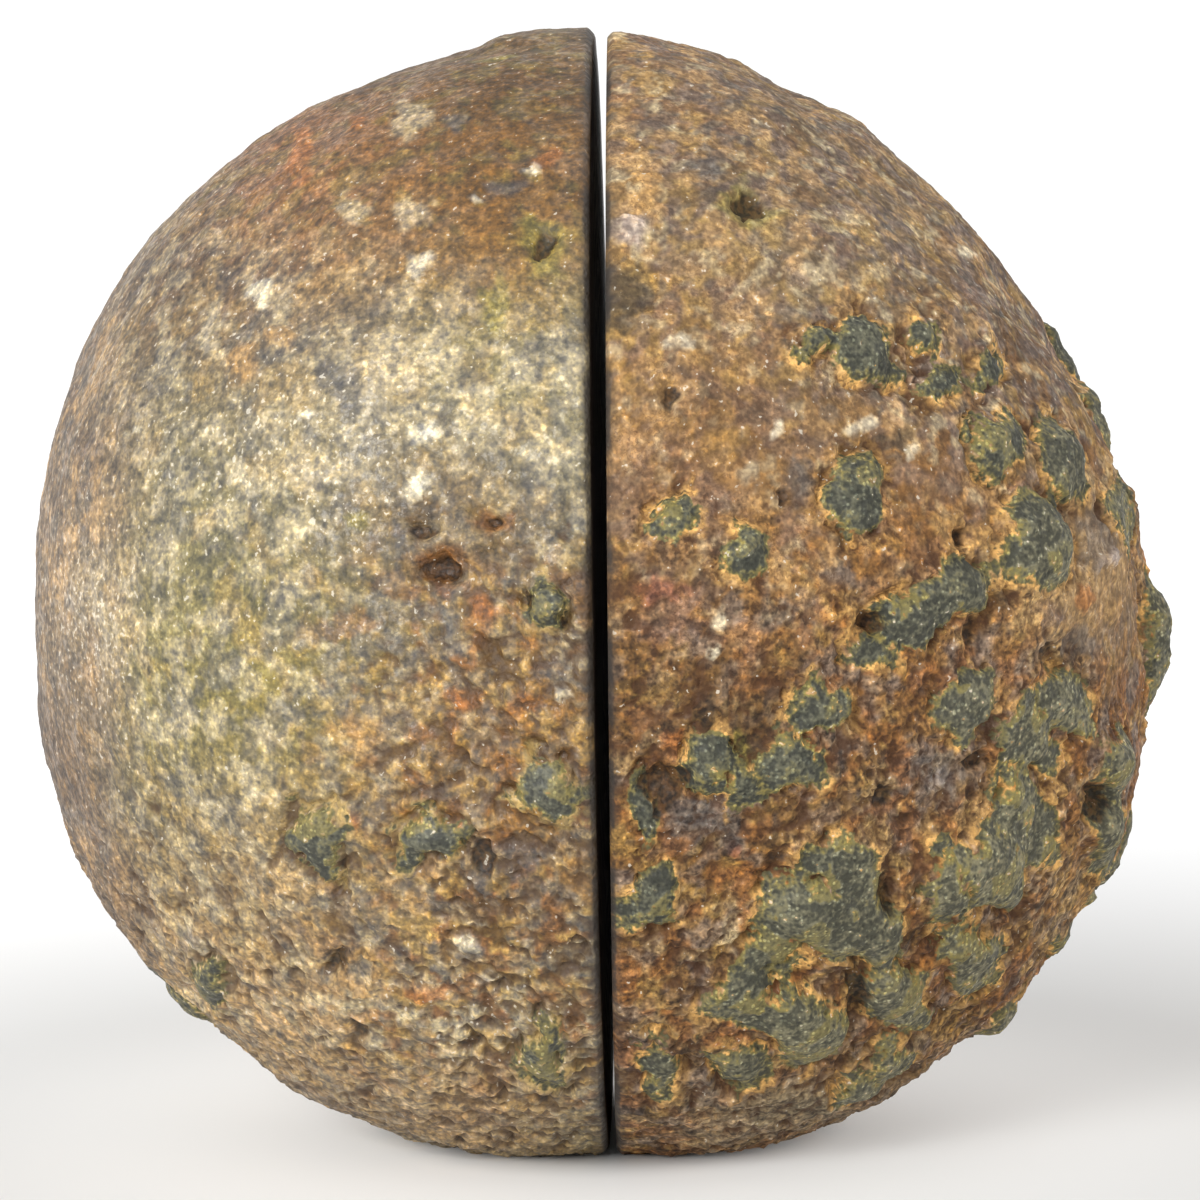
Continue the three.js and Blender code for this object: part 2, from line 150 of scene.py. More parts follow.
RIGHT = SimpleNamespace(
    node="right_half",
    slot="rough_rind",
    side=1,
    bevel_width=0.4,
    bevel_bare=0.6,
    seed=7,
    outline=[39.4, 38.0, 36.4, 35.6, 35.2, 35.8, 37.1, 39.2, 40.2, 40.2, 40.8, 41.4, 39.8],
    hidden_clusters=8,
    hidden_pits=6,
    crusts=[
        (17.7, 16.6, 4.6, 4.2), (14.3, 17.3, 2.6, 1.6), (21.7, 17.4, 1.9, 2.5), (23.4, 14.3, 2.9, 2.2),
        (26.8, 15.3, 2.1, 2.4), (27.0, 9.9, 2.7, 4.4), (31.7, 8.5, 3.1, 5.6), (29.7, 2.7, 4.2, 6.8),
        (17.1, 6.4, 3.5, 6.0), (33.9, 12.8, 3.1, 2.8),
        (4.0, 4.8, 3.0, 2.5), (9.2, 2.7, 2.8, 3.2), (1.9, -16.0, 1.5, 3.8), (2.4, -22.2, 3.2, 4.0),
        (3.0, -34.4, 2.8, 2.5),
        (23.8, -0.4, 5.4, 3.7), (20.9, -2.5, 4.9, 3.5), (17.9, -5.0, 2.5, 2.1),
        (14.3, -8.7, 3.7, 4.0), (12.0, -12.3, 4.2, 4.1), (8.6, -14.0, 3.5, 2.7), (6.5, -12.1, 3.1, 4.0),
        (25.1, -8.8, 3.5, 4.7), (32.2, -8.7, 3.5, 4.2), (29.7, -10.8, 3.9, 4.9), (29.1, -16.8, 4.0, 5.4),
        (26.4, -20.4, 4.9, 5.9), (23.3, -21.8, 3.2, 3.5), (25.2, -26.7, 4.4, 4.0), (31.6, -25.6, 2.8, 2.8),
        (26.9, -30.5, 3.5, 3.5),
        (16.1, -19.8, 5.2, 4.4), (14.3, -23.5, 6.4, 5.4), (11.0, -25.7, 4.2, 3.7), (18.3, -24.7, 4.1, 4.5),
        (8.6, -29.3, 4.8, 3.2), (13.2, -31.5, 5.9, 4.5), (8.4, -34.1, 3.5, 2.5), (19.8, -29.4, 5.1, 3.5),
        (19.2, -33.8, 3.5, 2.5), (17.3, -36.4, 4.2, 2.1),
        (36.2, 5.0, 4.0, 7.1), (38.6, -4.9, 3.0, 8.3), (36.6, -13.3, 3.1, 5.1), (35.6, -18.1, 3.2, 5.9),
    ],
    bare_crusts=0,
    pits=[
        (9.7, 26.9, 2.2, 1.7), (18.2, -2.7, 1.7, 1.7), (24.4, 3.4, 1.3, 1.3), (11.7, 6.3, 1.1, 1.2),
        (3.9, 13.4, 1.2, 1.2), (18.9, -15.1, 1.8, 1.9), (26.0, -12.9, 1.5, 1.5), (30.7, -5.1, 1.5, 1.5),
        (25.5, -3.4, 0.9, 2.3), (3.2, -14.3, 3.0, 3.2), (17.1, -29.0, 1.4, 3.4), (18.9, -21.6, 1.1, 2.9),
        (33.9, -15.4, 1.7, 2.4), (34.4, -21.3, 1.6, 1.8),
    ],
    # Marks of the kind white are painted glints.
    marks=[
        ("dark", 19.9, 10.2, 2.0, 1.6), ("ring", 15.5, -1.3, 1.8, 1.6), ("olive", 8.8, -12.4, 2.4, 3.5),
        ("pearl", 26.9, -30.5, 3.5, 3.5), ("orange", 38.2, 1.3, 1.4, 1.6), ("olive", 31.6, -25.6, 4.2, 1.6),
        ("dark", 27.6, 19.1, 1.7, 0.7), ("dark", 29.8, 19.4, 1.4, 0.7), ("ring", 24.4, 3.4, 2.4, 2.5),
        ("ring", 18.2, -2.7, 2.5, 2.5),
        ("pearl", 1.5, 24.9, 2.4, 1.6), ("olive", 9.7, 26.9, 3.6, 2.8),
        ("white", 4.8, 17.0, 2.3, 1.0), ("tan", 5.3, 15.7, 1.3, 1.0),
        ("pale", 14.8, 22.1, 2.3, 1.6), ("pale", 18.6, 22.1, 1.7, 1.3), ("white", 25.2, 23.6, 1.7, 1.0),
        ("white", 17.4, 11.3, 2.5, 0.8), ("white", 11.4, 11.2, 0.8, 1.3), ("white", 7.1, -2.4, 0.6, 1.0),
        ("white", 6.9, -4.6, 1.0, 0.8), ("white", 21.0, 9.4, 1.1, 1.0), ("pale", 9.4, 7.9, 1.8, 1.3),
        ("dark", 1.0, 20.6, 3.2, 4.6), ("orange", 12.3, -28.5, 2.4, 1.8), ("orange", 3.9, -11.0, 1.8, 1.4),
        ("slate", 12.9, 7.3, 2.1, 3.7), ("slate", 11.0, -2.3, 3.1, 2.1), ("slate", 15.9, 0.6, 3.1, 1.4),
        ("mauve", 12.1, 4.0, 2.1, 2.8), ("mauve", 7.0, 6.2, 3.5, 2.8), ("slate", 23.1, -13.3, 3.5, 3.0),
        ("slate", 6.4, -16.1, 4.7, 3.5), ("slate", 8.0, -18.3, 2.1, 1.1), ("red", 8.5, -18.9, 0.7, 0.6),
        ("tan", 12.4, -19.1, 1.8, 1.0), ("tan", 11.6, -20.6, 1.3, 1.0), ("pale", 7.9, -24.6, 1.7, 2.8),
        ("slate", 12.5, -13.9, 2.8, 1.0), ("mauve", 3.6, -2.3, 4.2, 4.2), ("red", 3.0, -0.2, 2.8, 2.1),
        ("tan", 2.6, 28.1, 2.8, 3.5), ("slate", 6.9, 29.4, 2.8, 1.8), ("tan", 9.8, 29.7, 1.8, 1.1),
        ("slate", 34.3, 3.6, 2.8, 4.4), ("pearl", 34.8, 1.5, 1.1, 1.2), ("slate", 33.2, -4.2, 2.6, 2.4),
        ("mauve", 30.8, -2.2, 2.6, 1.8), ("orange", 33.0, -1.0, 1.3, 1.6), ("tan", 35.4, -1.8, 1.2, 1.8),
    ],
)


# Colours, as they are written for a screen


def colour(red, green, blue):
    """A screen colour, 0 to 255, as the light that it stands for."""
    return tuple((value / 255) ** 2.2 for value in (red, green, blue))


BEIGE_GREY = colour(117, 109, 85)
OLIVE = colour(115, 105, 54)
MAUVE = colour(114, 93, 76)
RUST_RED = colour(146, 96, 68)
TOP_BROWN = colour(93, 64, 26)
ORANGE = colour(124, 84, 30)
PINKISH = colour(174, 140, 99)
ORANGE_BROWN = colour(120, 83, 44)
MAUVE_BROWN = colour(92, 73, 56)
MID_BROWN = colour(76, 57, 34)
WARM_TAN = colour(140, 113, 77)
DUN = colour(118, 105, 86)
# Painted shade for the low part of the right half
LOW_PAINTED_SHADE = colour(92, 70, 38)
SLATE_MAUVE = colour(108, 93, 85)
YELLOW_OCHRE = colour(168, 136, 76)
RUST_BROWN = colour(126, 82, 44)
SLATE_GREY = colour(98, 94, 88)
PALE_BEIGE = colour(190, 174, 142)

CRUST_DARK = colour(68, 68, 58)
CRUST_PALE = colour(124, 121, 99)
CRUST_OLIVE = colour(126, 114, 62)
# Painted shade in pits and dents, from near black to dark brown
PIT_SHADE_DARK = colour(32, 23, 14)
PIT_SHADE_BROWN = colour(70, 48, 25)
# Painted glints: white specks that stand for highlights
PAINTED_GLINT_WHITE = colour(224, 216, 198)
# The ground edge at the cut, dark partly as painted shade
GROUND_EDGE_AND_SHADE = colour(50, 45, 41)
BAND_DARK = colour(120, 104, 92)
BAND_PALE = colour(176, 164, 150)
BAND_LINE = colour(96, 78, 66)
FACE_EDGE = colour(74, 58, 42)
# Painted shade: the greys of the floor near the stone
FLOOR_SHADE_GREY = colour(210, 209, 207)
FLOOR_SHADE_PALE = colour(214, 214, 213)
FLOOR_FAR = colour(254, 254, 254)

# For each kind of mark its colour, how fully it covers the stone, and how far it stands out
MARK_KINDS = {
    # White marks are painted glints, with a slight rise
    "white": (colour(216, 205, 182), 0.55, 0.05),
    "pale": (colour(180, 163, 134), 0.55, 0.1),
    "lump": (colour(140, 122, 94), 0.6, 0.45),
    "knob": (colour(120, 122, 108), 0.7, 0.4),
    "pearl": (colour(170, 154, 146), 0.8, 0.35),
    "tan": (colour(160, 124, 80), 0.6, 0.15),
    "orange": (colour(160, 98, 48), 0.6, 0.15),
    "rust": (colour(120, 72, 34), 0.6, -0.15),
    "slate": (colour(84, 82, 84), 0.6, -0.05),
    "dark": (colour(56, 50, 44), 0.8, -0.1),
    "olive": (colour(124, 114, 56), 0.6, 0.0),
    "mauve": (colour(100, 80, 72), 0.6, 0.0),
    "red": (colour(134, 76, 54), 0.5, 0.1),
    "ring": (colour(160, 124, 76), 0.7, 0.3),
}


# Noise, worked out for many points at once, each by its size in millimetres and its own seed


def hashed(cells, seed):
    """A random share from 0 to 1 for each row of whole numbers."""
    x, y, z = (cells[:, axis].astype(np.int64).astype(np.uint32) for axis in range(3))
    mixed = x * np.uint32(0x8DA6B343) ^ y * np.uint32(0xD8163841) ^ z * np.uint32(0xCB1AB31F)
    mixed ^= np.uint32(seed * 0x9E3779B1 & 0xFFFFFFFF)
    for shift, factor in ((15, 0x2C1B3C6D), (12, 0x297A2D39)):
        mixed ^= mixed >> np.uint32(shift)
        mixed = mixed * np.uint32(factor)
    mixed ^= mixed >> np.uint32(15)
    return mixed / 2.0**32


def wave(points, size, seed):
    """Smooth noise, about -1 to 1, with lumps about `size` across."""
    places = points / size
    cells = np.floor(places)
    inside = places - cells
    ease = inside**3 * (inside * (inside * 6 - 15) + 10)
    total = np.zeros(len(points))
    for corner in itertools.product((0, 1), repeat=3):
        slopes = np.stack([hashed(cells + corner, seed + k) for k in range(3)], axis=1) * 2 - 1
        shares = np.prod(np.where(corner, ease, 1 - ease), axis=1)
        total += shares * np.sum(slopes * (inside - corner), axis=1)
    return total * 1.7


def fractal(points, size, seed, octaves=3):
    layers = [wave(points, size / 2**n, seed + 10 * n) / 2**n for n in range(octaves)]
    return sum(layers) / 1.5


def grains(points, size, seed):
    """Distances to the nearest and the next of scattered grain centres, in sizes, and a share per grain."""
    places = points / size
    cells = np.floor(places)
    nearest = np.full(len(points), 9.0)
    second = nearest.copy()
    share = np.zeros(len(points))
    for step in itertools.product((-1, 0, 1), repeat=3):
        there = cells + step
        centre = there + np.stack([hashed(there, seed + k) for k in range(3)], axis=1)
        distance = np.linalg.norm(places - centre, axis=1)
        closer = distance < nearest
        second = np.where(closer, nearest, np.minimum(second, distance))
        share = np.where(closer, hashed(there, seed + 3), share)
        nearest = np.where(closer, distance, nearest)
    return nearest, second, share


def ramp(values, low, high):
    """0 below low and 1 above high, smooth between; low may be the larger."""
    share = np.clip((values - low) / (high - low), 0, 1)
    return share * share * (3 - 2 * share)


# Where the crusts and pits of the solids lie


class Series:
    """The fixed series of random numbers that the solids use (Mulberry32)."""

    def __init__(self, seed):
        self.state = seed
        self.next()

    def next(self):
        self.state += 0x6D2B79F5
        mixed = self.state & 0xFFFFFFFF
        mixed = (mixed ^ mixed >> 15) * (mixed | 1) & 0xFFFFFFFF
        mixed ^= mixed + ((mixed ^ mixed >> 7) * (mixed | 61) & 0xFFFFFFFF) & 0xFFFFFFFF
        return ((mixed ^ mixed >> 14) & 0xFFFFFFFF) / 2.0**32

    def between(self, least, most):
        return least + (most - least) * self.next()


def sight_line(turn):
    """The eye from the heart, and the directions to its right and upwards."""
    flat = cos(VIEW_RISE)
    to_eye = Vector((sin(turn) * flat, -cos(turn) * flat, sin(VIEW_RISE)))
    right = Vector((cos(turn), sin(turn), 0))
    return to_eye * VIEW_DISTANCE, right, to_eye.cross(right)


EYE, VIEW_RIGHT, VIEW_UP = sight_line(VIEW_TURN)


def ellipse_radius(first, second, angle):
    return 1 / hypot(cos(angle) / first, sin(angle) / second)


def even_radius(half, direction):
    """Heart to skin in a direction, without waves, crusts and pits."""
    outward = asin(min(1, abs(direction.x)))
    around = atan2(-direction.y, direction.z)
    angles = [i * OUTLINE_STEP for i in range(len(half.outline))]
    above, below, far = np.interp([outward, pi - outward, pi / 2], angles, half.outline)
    upright = below + (above - below) * (1 + cos(around)) / 2
    return ellipse_radius(upright, ellipse_radius(DEPTH_RADIUS, far, outward), around)


def seen_direction(half, across, up):
    """The direction from the heart of what is seen at a place in the picture."""
    place = VIEW_RIGHT * across + VIEW_UP * up
    ray = (place - EYE).normalized()
    to_nearest = -EYE.dot(ray)
    miss = sqrt(EYE.length_squared - to_nearest**2)
    direction = place.normalized()
    for _ in range(6):
        radius = even_radius(half, direction)
        if radius > miss:
            distance = to_nearest - sqrt(radius**2 - miss**2)
            direction = (EYE + ray * distance).normalized()
    return direction


def seen_axes(half, across, up):
    normal = seen_direction(half, across, up)
    to_eye = (EYE - normal * even_radius(half, normal)).normalized()
    facing = max(normal.dot(to_eye), LEAST_FACING)

    def laid(axis):
        slid = axis - to_eye * (axis.dot(normal) / facing)
        return slid - normal * slid.dot(normal)

    return laid(VIEW_RIGHT), laid(VIEW_UP)


def square_axes(direction, turn):
    level = Vector((0, 0, 1)).cross(direction).normalized()
    right = Matrix.Rotation(turn, 3, direction) @ level
    return right, direction.cross(right)


def direction_at(side, outward, around):
    flat = cos(outward)
    return Vector((side * sin(outward), -flat * sin(around), flat * cos(around)))


def hidden_direction(half, series):
    while True:
        outward = asin(series.between(CLEAR_OF_CUT, 1))
        around = series.between(0, 2 * pi)
        direction = direction_at(half.side, outward, around)
        if direction.z > LOWEST_HIDDEN and direction.dot(EYE) < 0:
            return direction


def new_patch(axes, width, height, series):
    phases = [series.between(0, 2 * pi) for _ in range(3)]
    return SimpleNamespace(right=axes[0], up=axes[1], width=width, height=height, phases=phases)


def seen_patches(half, places, series):
    return [new_patch(seen_axes(half, x, z), width, height, series) for x, z, width, height in places]


def solid_patches(half):
    """The crusts and the pits of a half's solid, in the order in which the solid draws its numbers."""
    series = Series(half.seed)
    crusts = seen_patches(half, half.crusts, series)
    for _ in range(half.hidden_clusters):
        middle = hidden_direction(half, series)
        for _ in range(HIDDEN_CRUSTS_EACH):
            aside = Vector([series.between(-1, 1) for _ in range(3)])
            direction = (middle + aside * HIDDEN_SPREAD).normalized()
            axes = square_axes(direction, series.between(0, pi))
            width = series.between(*HIDDEN_CRUST)
            height = series.between(*HIDDEN_CRUST)
            crusts.append(new_patch(axes, width, height, series))
    pits = seen_patches(half, half.pits, series)
    for _ in range(half.hidden_pits):
        axes = square_axes(hidden_direction(half, series), series.between(0, pi))
        width = series.between(*HIDDEN_PIT)
        height = series.between(*HIDDEN_PIT)
        pits.append(new_patch(axes, width, height, series))
    return crusts, pits


def reach_of(patch, points):
    """How far out each point lies in a patch: 0 in its middle and 1 on its outline."""
    right, up = patch.right, patch.up
    dots = np.array([[right.dot(right), right.dot(up)], [right.dot(up), up.dot(up)]])
    inverse = np.linalg.inv(dots)
    along = np.stack([points @ np.array(right), points @ np.array(up)], axis=1) @ inverse
    u = along[:, 0] / (patch.width / 2)
    v = -along[:, 1] / (patch.height / 2)
    angle = np.arctan2(v, u)
    reach = np.ones(len(points))
    for (turns, share), phase in zip(PATCH_WAVES, patch.phases):
        reach += share * np.sin(turns * angle + phase)
    outward = np.array(right.cross(up).normalized())
    far_side = points @ outward < 0
    return np.where(far_side, NONE_NEAR, np.hypot(u, v) / reach)


def distance_outside(patches, points):
    """Millimetres from each point to the nearest patch's outline, less than 0 inside it."""
    nearest = np.full(len(points), NONE_NEAR)
    for patch in patches:
        size = (patch.width + patch.height) / 4
        nearest = np.minimum(nearest, (reach_of(patch, points) - 1) * size)
    return nearest


# The mesh of a half: rings of vertices from the middle of the sawn face out to the far side


def ring_count(radius, step):
    return max(6, round(2 * pi * radius / step))


def ring_layout(rim_radius):
    """The rings as (kind, value, count).

    The value is the share of the rim's radius on the face, and the angle outwards from the cut on the body.
    """
    face = []
    radius, step = rim_radius, EDGE
    while radius - step > FACE_LARGEST:
        radius -= step
        face.append(("face", radius / rim_radius, ring_count(radius, step)))
        step = min(step * FACE_GROWTH, FACE_LARGEST)
    face.append(("face", 0.0, 1))
    bevel = [("bevel", 0.0, ring_count(rim_radius, EDGE))] * BEVEL_ROWS
    rows = round((pi / 2) * rim_radius / ROW_STEP)
    body = []
    for row in range(FIRST_BODY_ROW, rows):
        outward = (pi / 2) * row / rows
        body.append(("body", outward, ring_count(cos(outward) * rim_radius, EDGE)))
    body.append(("body", pi / 2, 1))
    return face[::-1] + bevel + body


def ring_vertices(layout, side):
    """For each vertex the kind and value of its ring, its angle round it, and its direction."""
    counts = [count for _, _, count in layout]
    kinds = np.repeat([kind for kind, _, _ in layout], counts)
    values = np.repeat([value for _, value, _ in layout], counts)
    around = np.concatenate([np.arange(count) / count * 2 * pi for count in counts])
    outward = np.where(kinds == "body", values, 0.0)
    directions = np.stack([
        side * np.sin(outward),
        -np.cos(outward) * np.sin(around),
        np.cos(outward) * np.cos(around),
    ], axis=1)
    return kinds, values, around, directions


def zipped(first, first_count, second, second_count):
    """Triangles between two rings that start at the same angle, whatever their counts."""
    faces = []
    i = j = 0
    while i < first_count or j < second_count:
        first_next = (i + 1) / first_count if i < first_count else 2
        second_next = (j + 1) / second_count if j < second_count else 2
        here, there = first + i % first_count, second + j % second_count
        if first_next <= second_next:
            if first_count > 1:
                faces.append((here, there, first + (i + 1) % first_count))
            i += 1
        else:
            if second_count > 1:
                faces.append((here, there, second + (j + 1) % second_count))
            j += 1
    return faces


def layout_faces(layout, side):
    faces = []
    start = 0
    for (_, _, count), (_, _, next_count) in zip(layout, layout[1:]):
        faces.extend(zipped(start, count, start + count, next_count))
        start += count
    faces = np.array(faces)
    return faces if side > 0 else faces[:, ::-1]


# The shape of a half


def turned(angle, first, second):
    """A turn from one axis towards another, for rows of places."""
    turn = np.eye(3)
    turn[first, first] = turn[second, second] = cos(angle)
    turn[first, second] = sin(angle)
    turn[second, first] = -sin(angle)
    return turn


def stance(half):
    """How a half's own axes are turned and leaned."""
    return turned(half.side * GAP_LEAN, 2, 0) @ turned(half.side * GAP_OPENING, 0, 1)


def heart_of(half):
    return np.array([CUT_PLACE + half.side * GAP / 2, 0, HEART_HEIGHT])


def solid_tree(half):
    """The solid of a half, about its own heart, ready to be looked at along lines."""
    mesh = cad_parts[half.node].data
    corners = np.empty(len(mesh.vertices) * 3)
    mesh.vertices.foreach_get("co", corners)
    places = (corners.reshape(-1, 3) * METRE - heart_of(half)) @ stance(half).T
    triangles = [tuple(polygon.vertices) for polygon in mesh.polygons]
    return BVHTree.FromPolygons(places.tolist(), triangles)


def solid_radius(tree, directions):
    """Heart to the solid's outside, found by looking inwards along each direction."""
    reached = np.empty(len(directions))
    for i, direction in enumerate(directions.tolist()):
        outside = [axis * LOOK_START for axis in direction]
        inwards = [-axis for axis in direction]
        distance = tree.ray_cast(outside, inwards)[3]
        reached[i] = LOOK_START - distance
    return reached


def unit(rows):
    return rows / np.linalg.norm(rows, axis=1, keepdims=True)


def wander(points, seed):
    """A smooth random step aside for each point."""
    steps = [wave(points, 2.2, seed + k) + 0.5 * wave(points, 0.9, seed + 4 + k) for k in range(3)]
    return np.stack(steps, axis=1)


def skin_radius(half, tree, directions):
    """Heart to skin, and where on the solid each place of the skin is taken from.

    The solid is looked at a little aside of each direction, so that the edges of its facets wander,
    and a second and third time further aside, so that they are softened.
    """
    near = directions * SKIN_SIZE
    total = np.zeros(len(directions))
    for turn, aside in enumerate(LOOKS_ASIDE):
        looks = unit(near + aside * wander(near, 50 + 10 * turn))
        looks[:, 0] = half.side * np.maximum(half.side * looks[:, 0], LEAST_OUTWARD)
        looks = unit(looks)
        radius = solid_radius(tree, looks)
        total += radius
        if turn == 0:
            sources = looks * radius[:, None]
    return total / len(LOOKS_ASIDE), sources


def rounded(half, radius, sources, faces):
    """The radius with the solid's facets rounded off, but only a little at its crusts and pits."""
    faces = faces[np.all(faces >= 0, axis=1)]
    ends = np.concatenate([faces, np.roll(faces, 1, axis=1)]).ravel()
    others = np.concatenate([np.roll(faces, 1, axis=1), faces]).ravel()
    count = np.maximum(np.bincount(ends, minlength=len(radius)), 1)
    even = radius
    for turn in range(ROUNDING):
        even = (even + np.bincount(ends, even[others], len(radius)) / count) / 2
        if turn < CRUST_ROUNDING:
            crisp = even
    crusts, pits = solid_patches(half)
    keep = ramp(distance_outside(crusts + pits, sources), *CRISP_REACH)
    return even + (crisp - even) * keep


def bevel_row(half, rim_radius, around, share):
    """Places on the ground edge of the sawn face: share is 0 on the face and 1 where the skin starts."""
    rim = np.stack([0 * around, -np.sin(around), np.cos(around)], axis=1) * SKIN_SIZE
    width = half.bevel_width * (1 + 0.25 * wave(rim, 3.0, 90) + 0.15 * wave(rim, 1.0, 91))
    radius = rim_radius - width * (1 - share) ** BEVEL_CURVE
    outward = half.side * width * share
    return np.stack([outward, -radius * np.sin(around), radius * np.cos(around)], axis=1)


def smooth_ring(values, rounds):
    for _ in range(rounds):
        values = (np.roll(values, 1) + 2 * values + np.roll(values, -1)) / 4
    return values


def build_half(half):
    layout = ring_layout(SKIN_SIZE)
    kinds, values, around, directions = ring_vertices(layout, half.side)
    faces = layout_faces(layout, half.side)
    face = kinds == "face"
    skin = ~face
    radius, sources = skin_radius(half, solid_tree(half), directions[skin])
    radius = rounded(half, radius, sources, faces - np.argmax(skin))
    relief, fields, tint = surface(half, sources)
    places = np.zeros((len(kinds), 3))
    places[skin] = directions[skin] * (radius + relief)[:, None]

    rim = np.flatnonzero(kinds == "bevel").reshape(BEVEL_ROWS, -1)
    rim_around = around[rim[0]]
    rim_radius = smooth_ring(np.linalg.norm(places[rim[-1]], axis=1), 2)
    for row, share in zip(rim, np.linspace(0, 1, BEVEL_ROWS)):
        places[row] = bevel_row(half, rim_radius, rim_around, share)

    face_rim = np.linalg.norm(places[rim[0]], axis=1)
    full_turn = np.append(rim_around, 2 * pi)
    face_radius = np.interp(around[face], full_turn, np.append(face_rim, face_rim[0])) * values[face]
    places[face] = directions[face] * face_radius[:, None]

    mesh = stone_mesh(half, places, faces, np.any(face[faces], axis=1))
    add_field(mesh, "bevel", bevel_cover(half, directions, rim))
    add_look(mesh, skin, fields, tint)
    mesh.update()
    piece = bpy.data.objects.new(half.node + "_stone", mesh)
    bpy.context.scene.collection.objects.link(piece)
    return piece


def stone_mesh(half, places, faces, sawn_faces):
    """The mesh of a half, turned and moved to where the half stands, and nowhere under the ground."""
    places = places @ stance(half) + heart_of(half)
    places[:, 2] = np.maximum(places[:, 2], 0)
    mesh = bpy.data.meshes.new(half.node + "_stone")
    mesh.from_pydata((places / METRE).tolist(), [], faces.tolist())
    mesh.polygons.foreach_set("use_smooth", ~sawn_faces)
    mesh.polygons.foreach_set("material_index", sawn_faces.astype(np.int32))
    return mesh


def bevel_cover(half, directions, rim):
    """How fully each vertex has the dark of the ground edge, which is partly painted shade and bare here and
    there.
    """
    cover = np.zeros(len(directions))
    bare = half.bevel_bare * ramp(wave(directions[rim[0]] * SKIN_SIZE, 5.0, 92), -0.1, 0.3)
    for row, share in zip(rim, BEVEL_COVER):
        cover[row] = share * (1 - bare)
    return cover


def add_field(mesh, name, amounts):
    mesh.attributes.new(name, "FLOAT", "POINT").data.foreach_set("value", amounts)


def add_look(mesh, skin, fields, tint):
    """Gives the skin's vertices the fields and the tint that the material reads."""
    for name, amounts in fields.items():
        field = np.zeros(len(skin))
        field[skin] = amounts
        add_field(mesh, name, field)
    shades = np.ones((len(skin), 4))
    shades[skin, :3] = tint
    mesh.attributes.new("tint", "FLOAT_COLOR", "POINT").data.foreach_set("color", shades.ravel())


# The relief of the rind and the colour of its stone


def ellipse_share(points, x, z, wide, high):
    """1 in the middle of a soft ellipse as seen from the front, 0 well outside it."""
    return np.exp(-(((points[:, 0] - x) / wide) ** 2) - ((points[:, 2] - z) / high) ** 2)


def green_crusts(half, crusts):
    """The crusts without the bare ones, which are the last of those that are seen from the front."""
    seen_count = len(half.crusts)
    return crusts[:seen_count - half.bare_crusts] + crusts[seen_count:]


def stone_relief(points, rough):
    """The relief of bare stone, broad and fine, and what makes it fine: grains, dents and cracks."""
    bent = points + 0.45 * np.stack([wave(points, 1.3, 40 + k) for k in range(3)], axis=1)
    clump, clump_next, _ = grains(bent, 1.7, 30)
    grain, grain_next, _ = grains(bent, 0.85, 31)
    clump_edge = ramp(clump_next - clump, 0.2, 0.02)
    grain_edge = ramp(grain_next - grain, 0.25, 0.0)
    dents, _, dent_share = grains(points, 2.1, 35)
    dent = ramp(dent_share, 0.8, 0.92) * ramp(dents, 0.4, 0.18) * (0.15 + rough)
    crack = ramp(np.abs(wave(points, 2.4, 74)), 0.1, 0.02) * ramp(wave(points, 4.0, 75), -0.05, 0.2) * rough
    broad = fractal(points, 4.5, 32) * (0.24 + 0.2 * rough)
    fine = (
        fractal(points, 1.5, 33) * (0.09 + 0.2 * rough)
        - clump_edge * 0.32 * rough
        + (0.45 - grain) * (0.04 + 0.12 * rough)
        - grain_edge * (0.01 + 0.12 * rough)
        - dent * 0.5
        - crack * 0.4
    )
    return broad, fine, grain_edge, dent, crack


def surface(half, points):
    """The fine relief of the rind in millimetres, its tint, and the fields that its material reads."""
    crusts, pits = solid_patches(half)
    crust_gap = distance_outside(green_crusts(half, crusts), points)
    _, _, chip = grains(points, 1.5, 76)
    ragged = crust_gap + 0.9 * (chip - 0.5) + 0.3 * wave(points, 2.3, 72) + 0.16 * wave(points, 0.8, 70)
    crust = ramp(ragged, 0.1, -0.3)
    stone = 1 - crust
    edge = ramp(ragged, -0.1, 0.2)
    moat = edge * ramp(ragged, 0.9, 0.3) * ramp(wave(points, 2.6, 73), 0.0, -0.3)
    rim = edge * ramp(ragged, 1.3, 0.4) * ramp(wave(points, 2.6, 73), -0.2, 0.1)
    pit = ramp(distance_outside(pits, points) + 0.35 * wave(points, 1.1, 77), 0.2, -0.3)
    wear = worn_share(half, points) * (1 - 0.3 * ramp(crust_gap, 1.8, 0.4))
    rough = 1 - wear

    broad, fine, grain_edge, dent, crack = stone_relief(points, rough)
    on_crust = 0.12 + 0.14 * wave(points, 1.7, 37) + 0.16 * (chip - 0.5) - 0.08 * grain_edge
    relief = (broad + fine) * stone + on_crust * crust
    relief = relief + (0.25 * rim - 0.6 * moat) * (0.35 + rough)
    marks, mark_relief = placed_marks(half, points)
    relief = relief * (1 - 0.5 * pit) - 0.6 * pit + mark_relief

    fields = {
        "crust_gap": ragged,
        # How far painted shade darkens hollows: low spots of the fine relief, the moats round crusts, and
        # cracks
        "cavity": np.clip(-2.5 * fine, -1, 1) * stone + 1.1 * moat + 0.8 * crack * stone,
        # How far pits and dents are darkened with painted shade
        "pit": np.maximum(pit, dent * stone),
        "wear": wear,
        # How thickly painted glints lie
        "glint": glint_share(half, points),
        "cloud": 0.5 + 0.5 * fractal(points, 1.8, 38),
        "drift": 0.5 + 0.5 * fractal(points, 3.4, 39, 4),
        "chip": chip,
        "crust_tone": ramp(points[:, 0] - 0.6 * points[:, 2], 14, 34),
    }
    return relief, fields, stone_tint(half, points, marks)


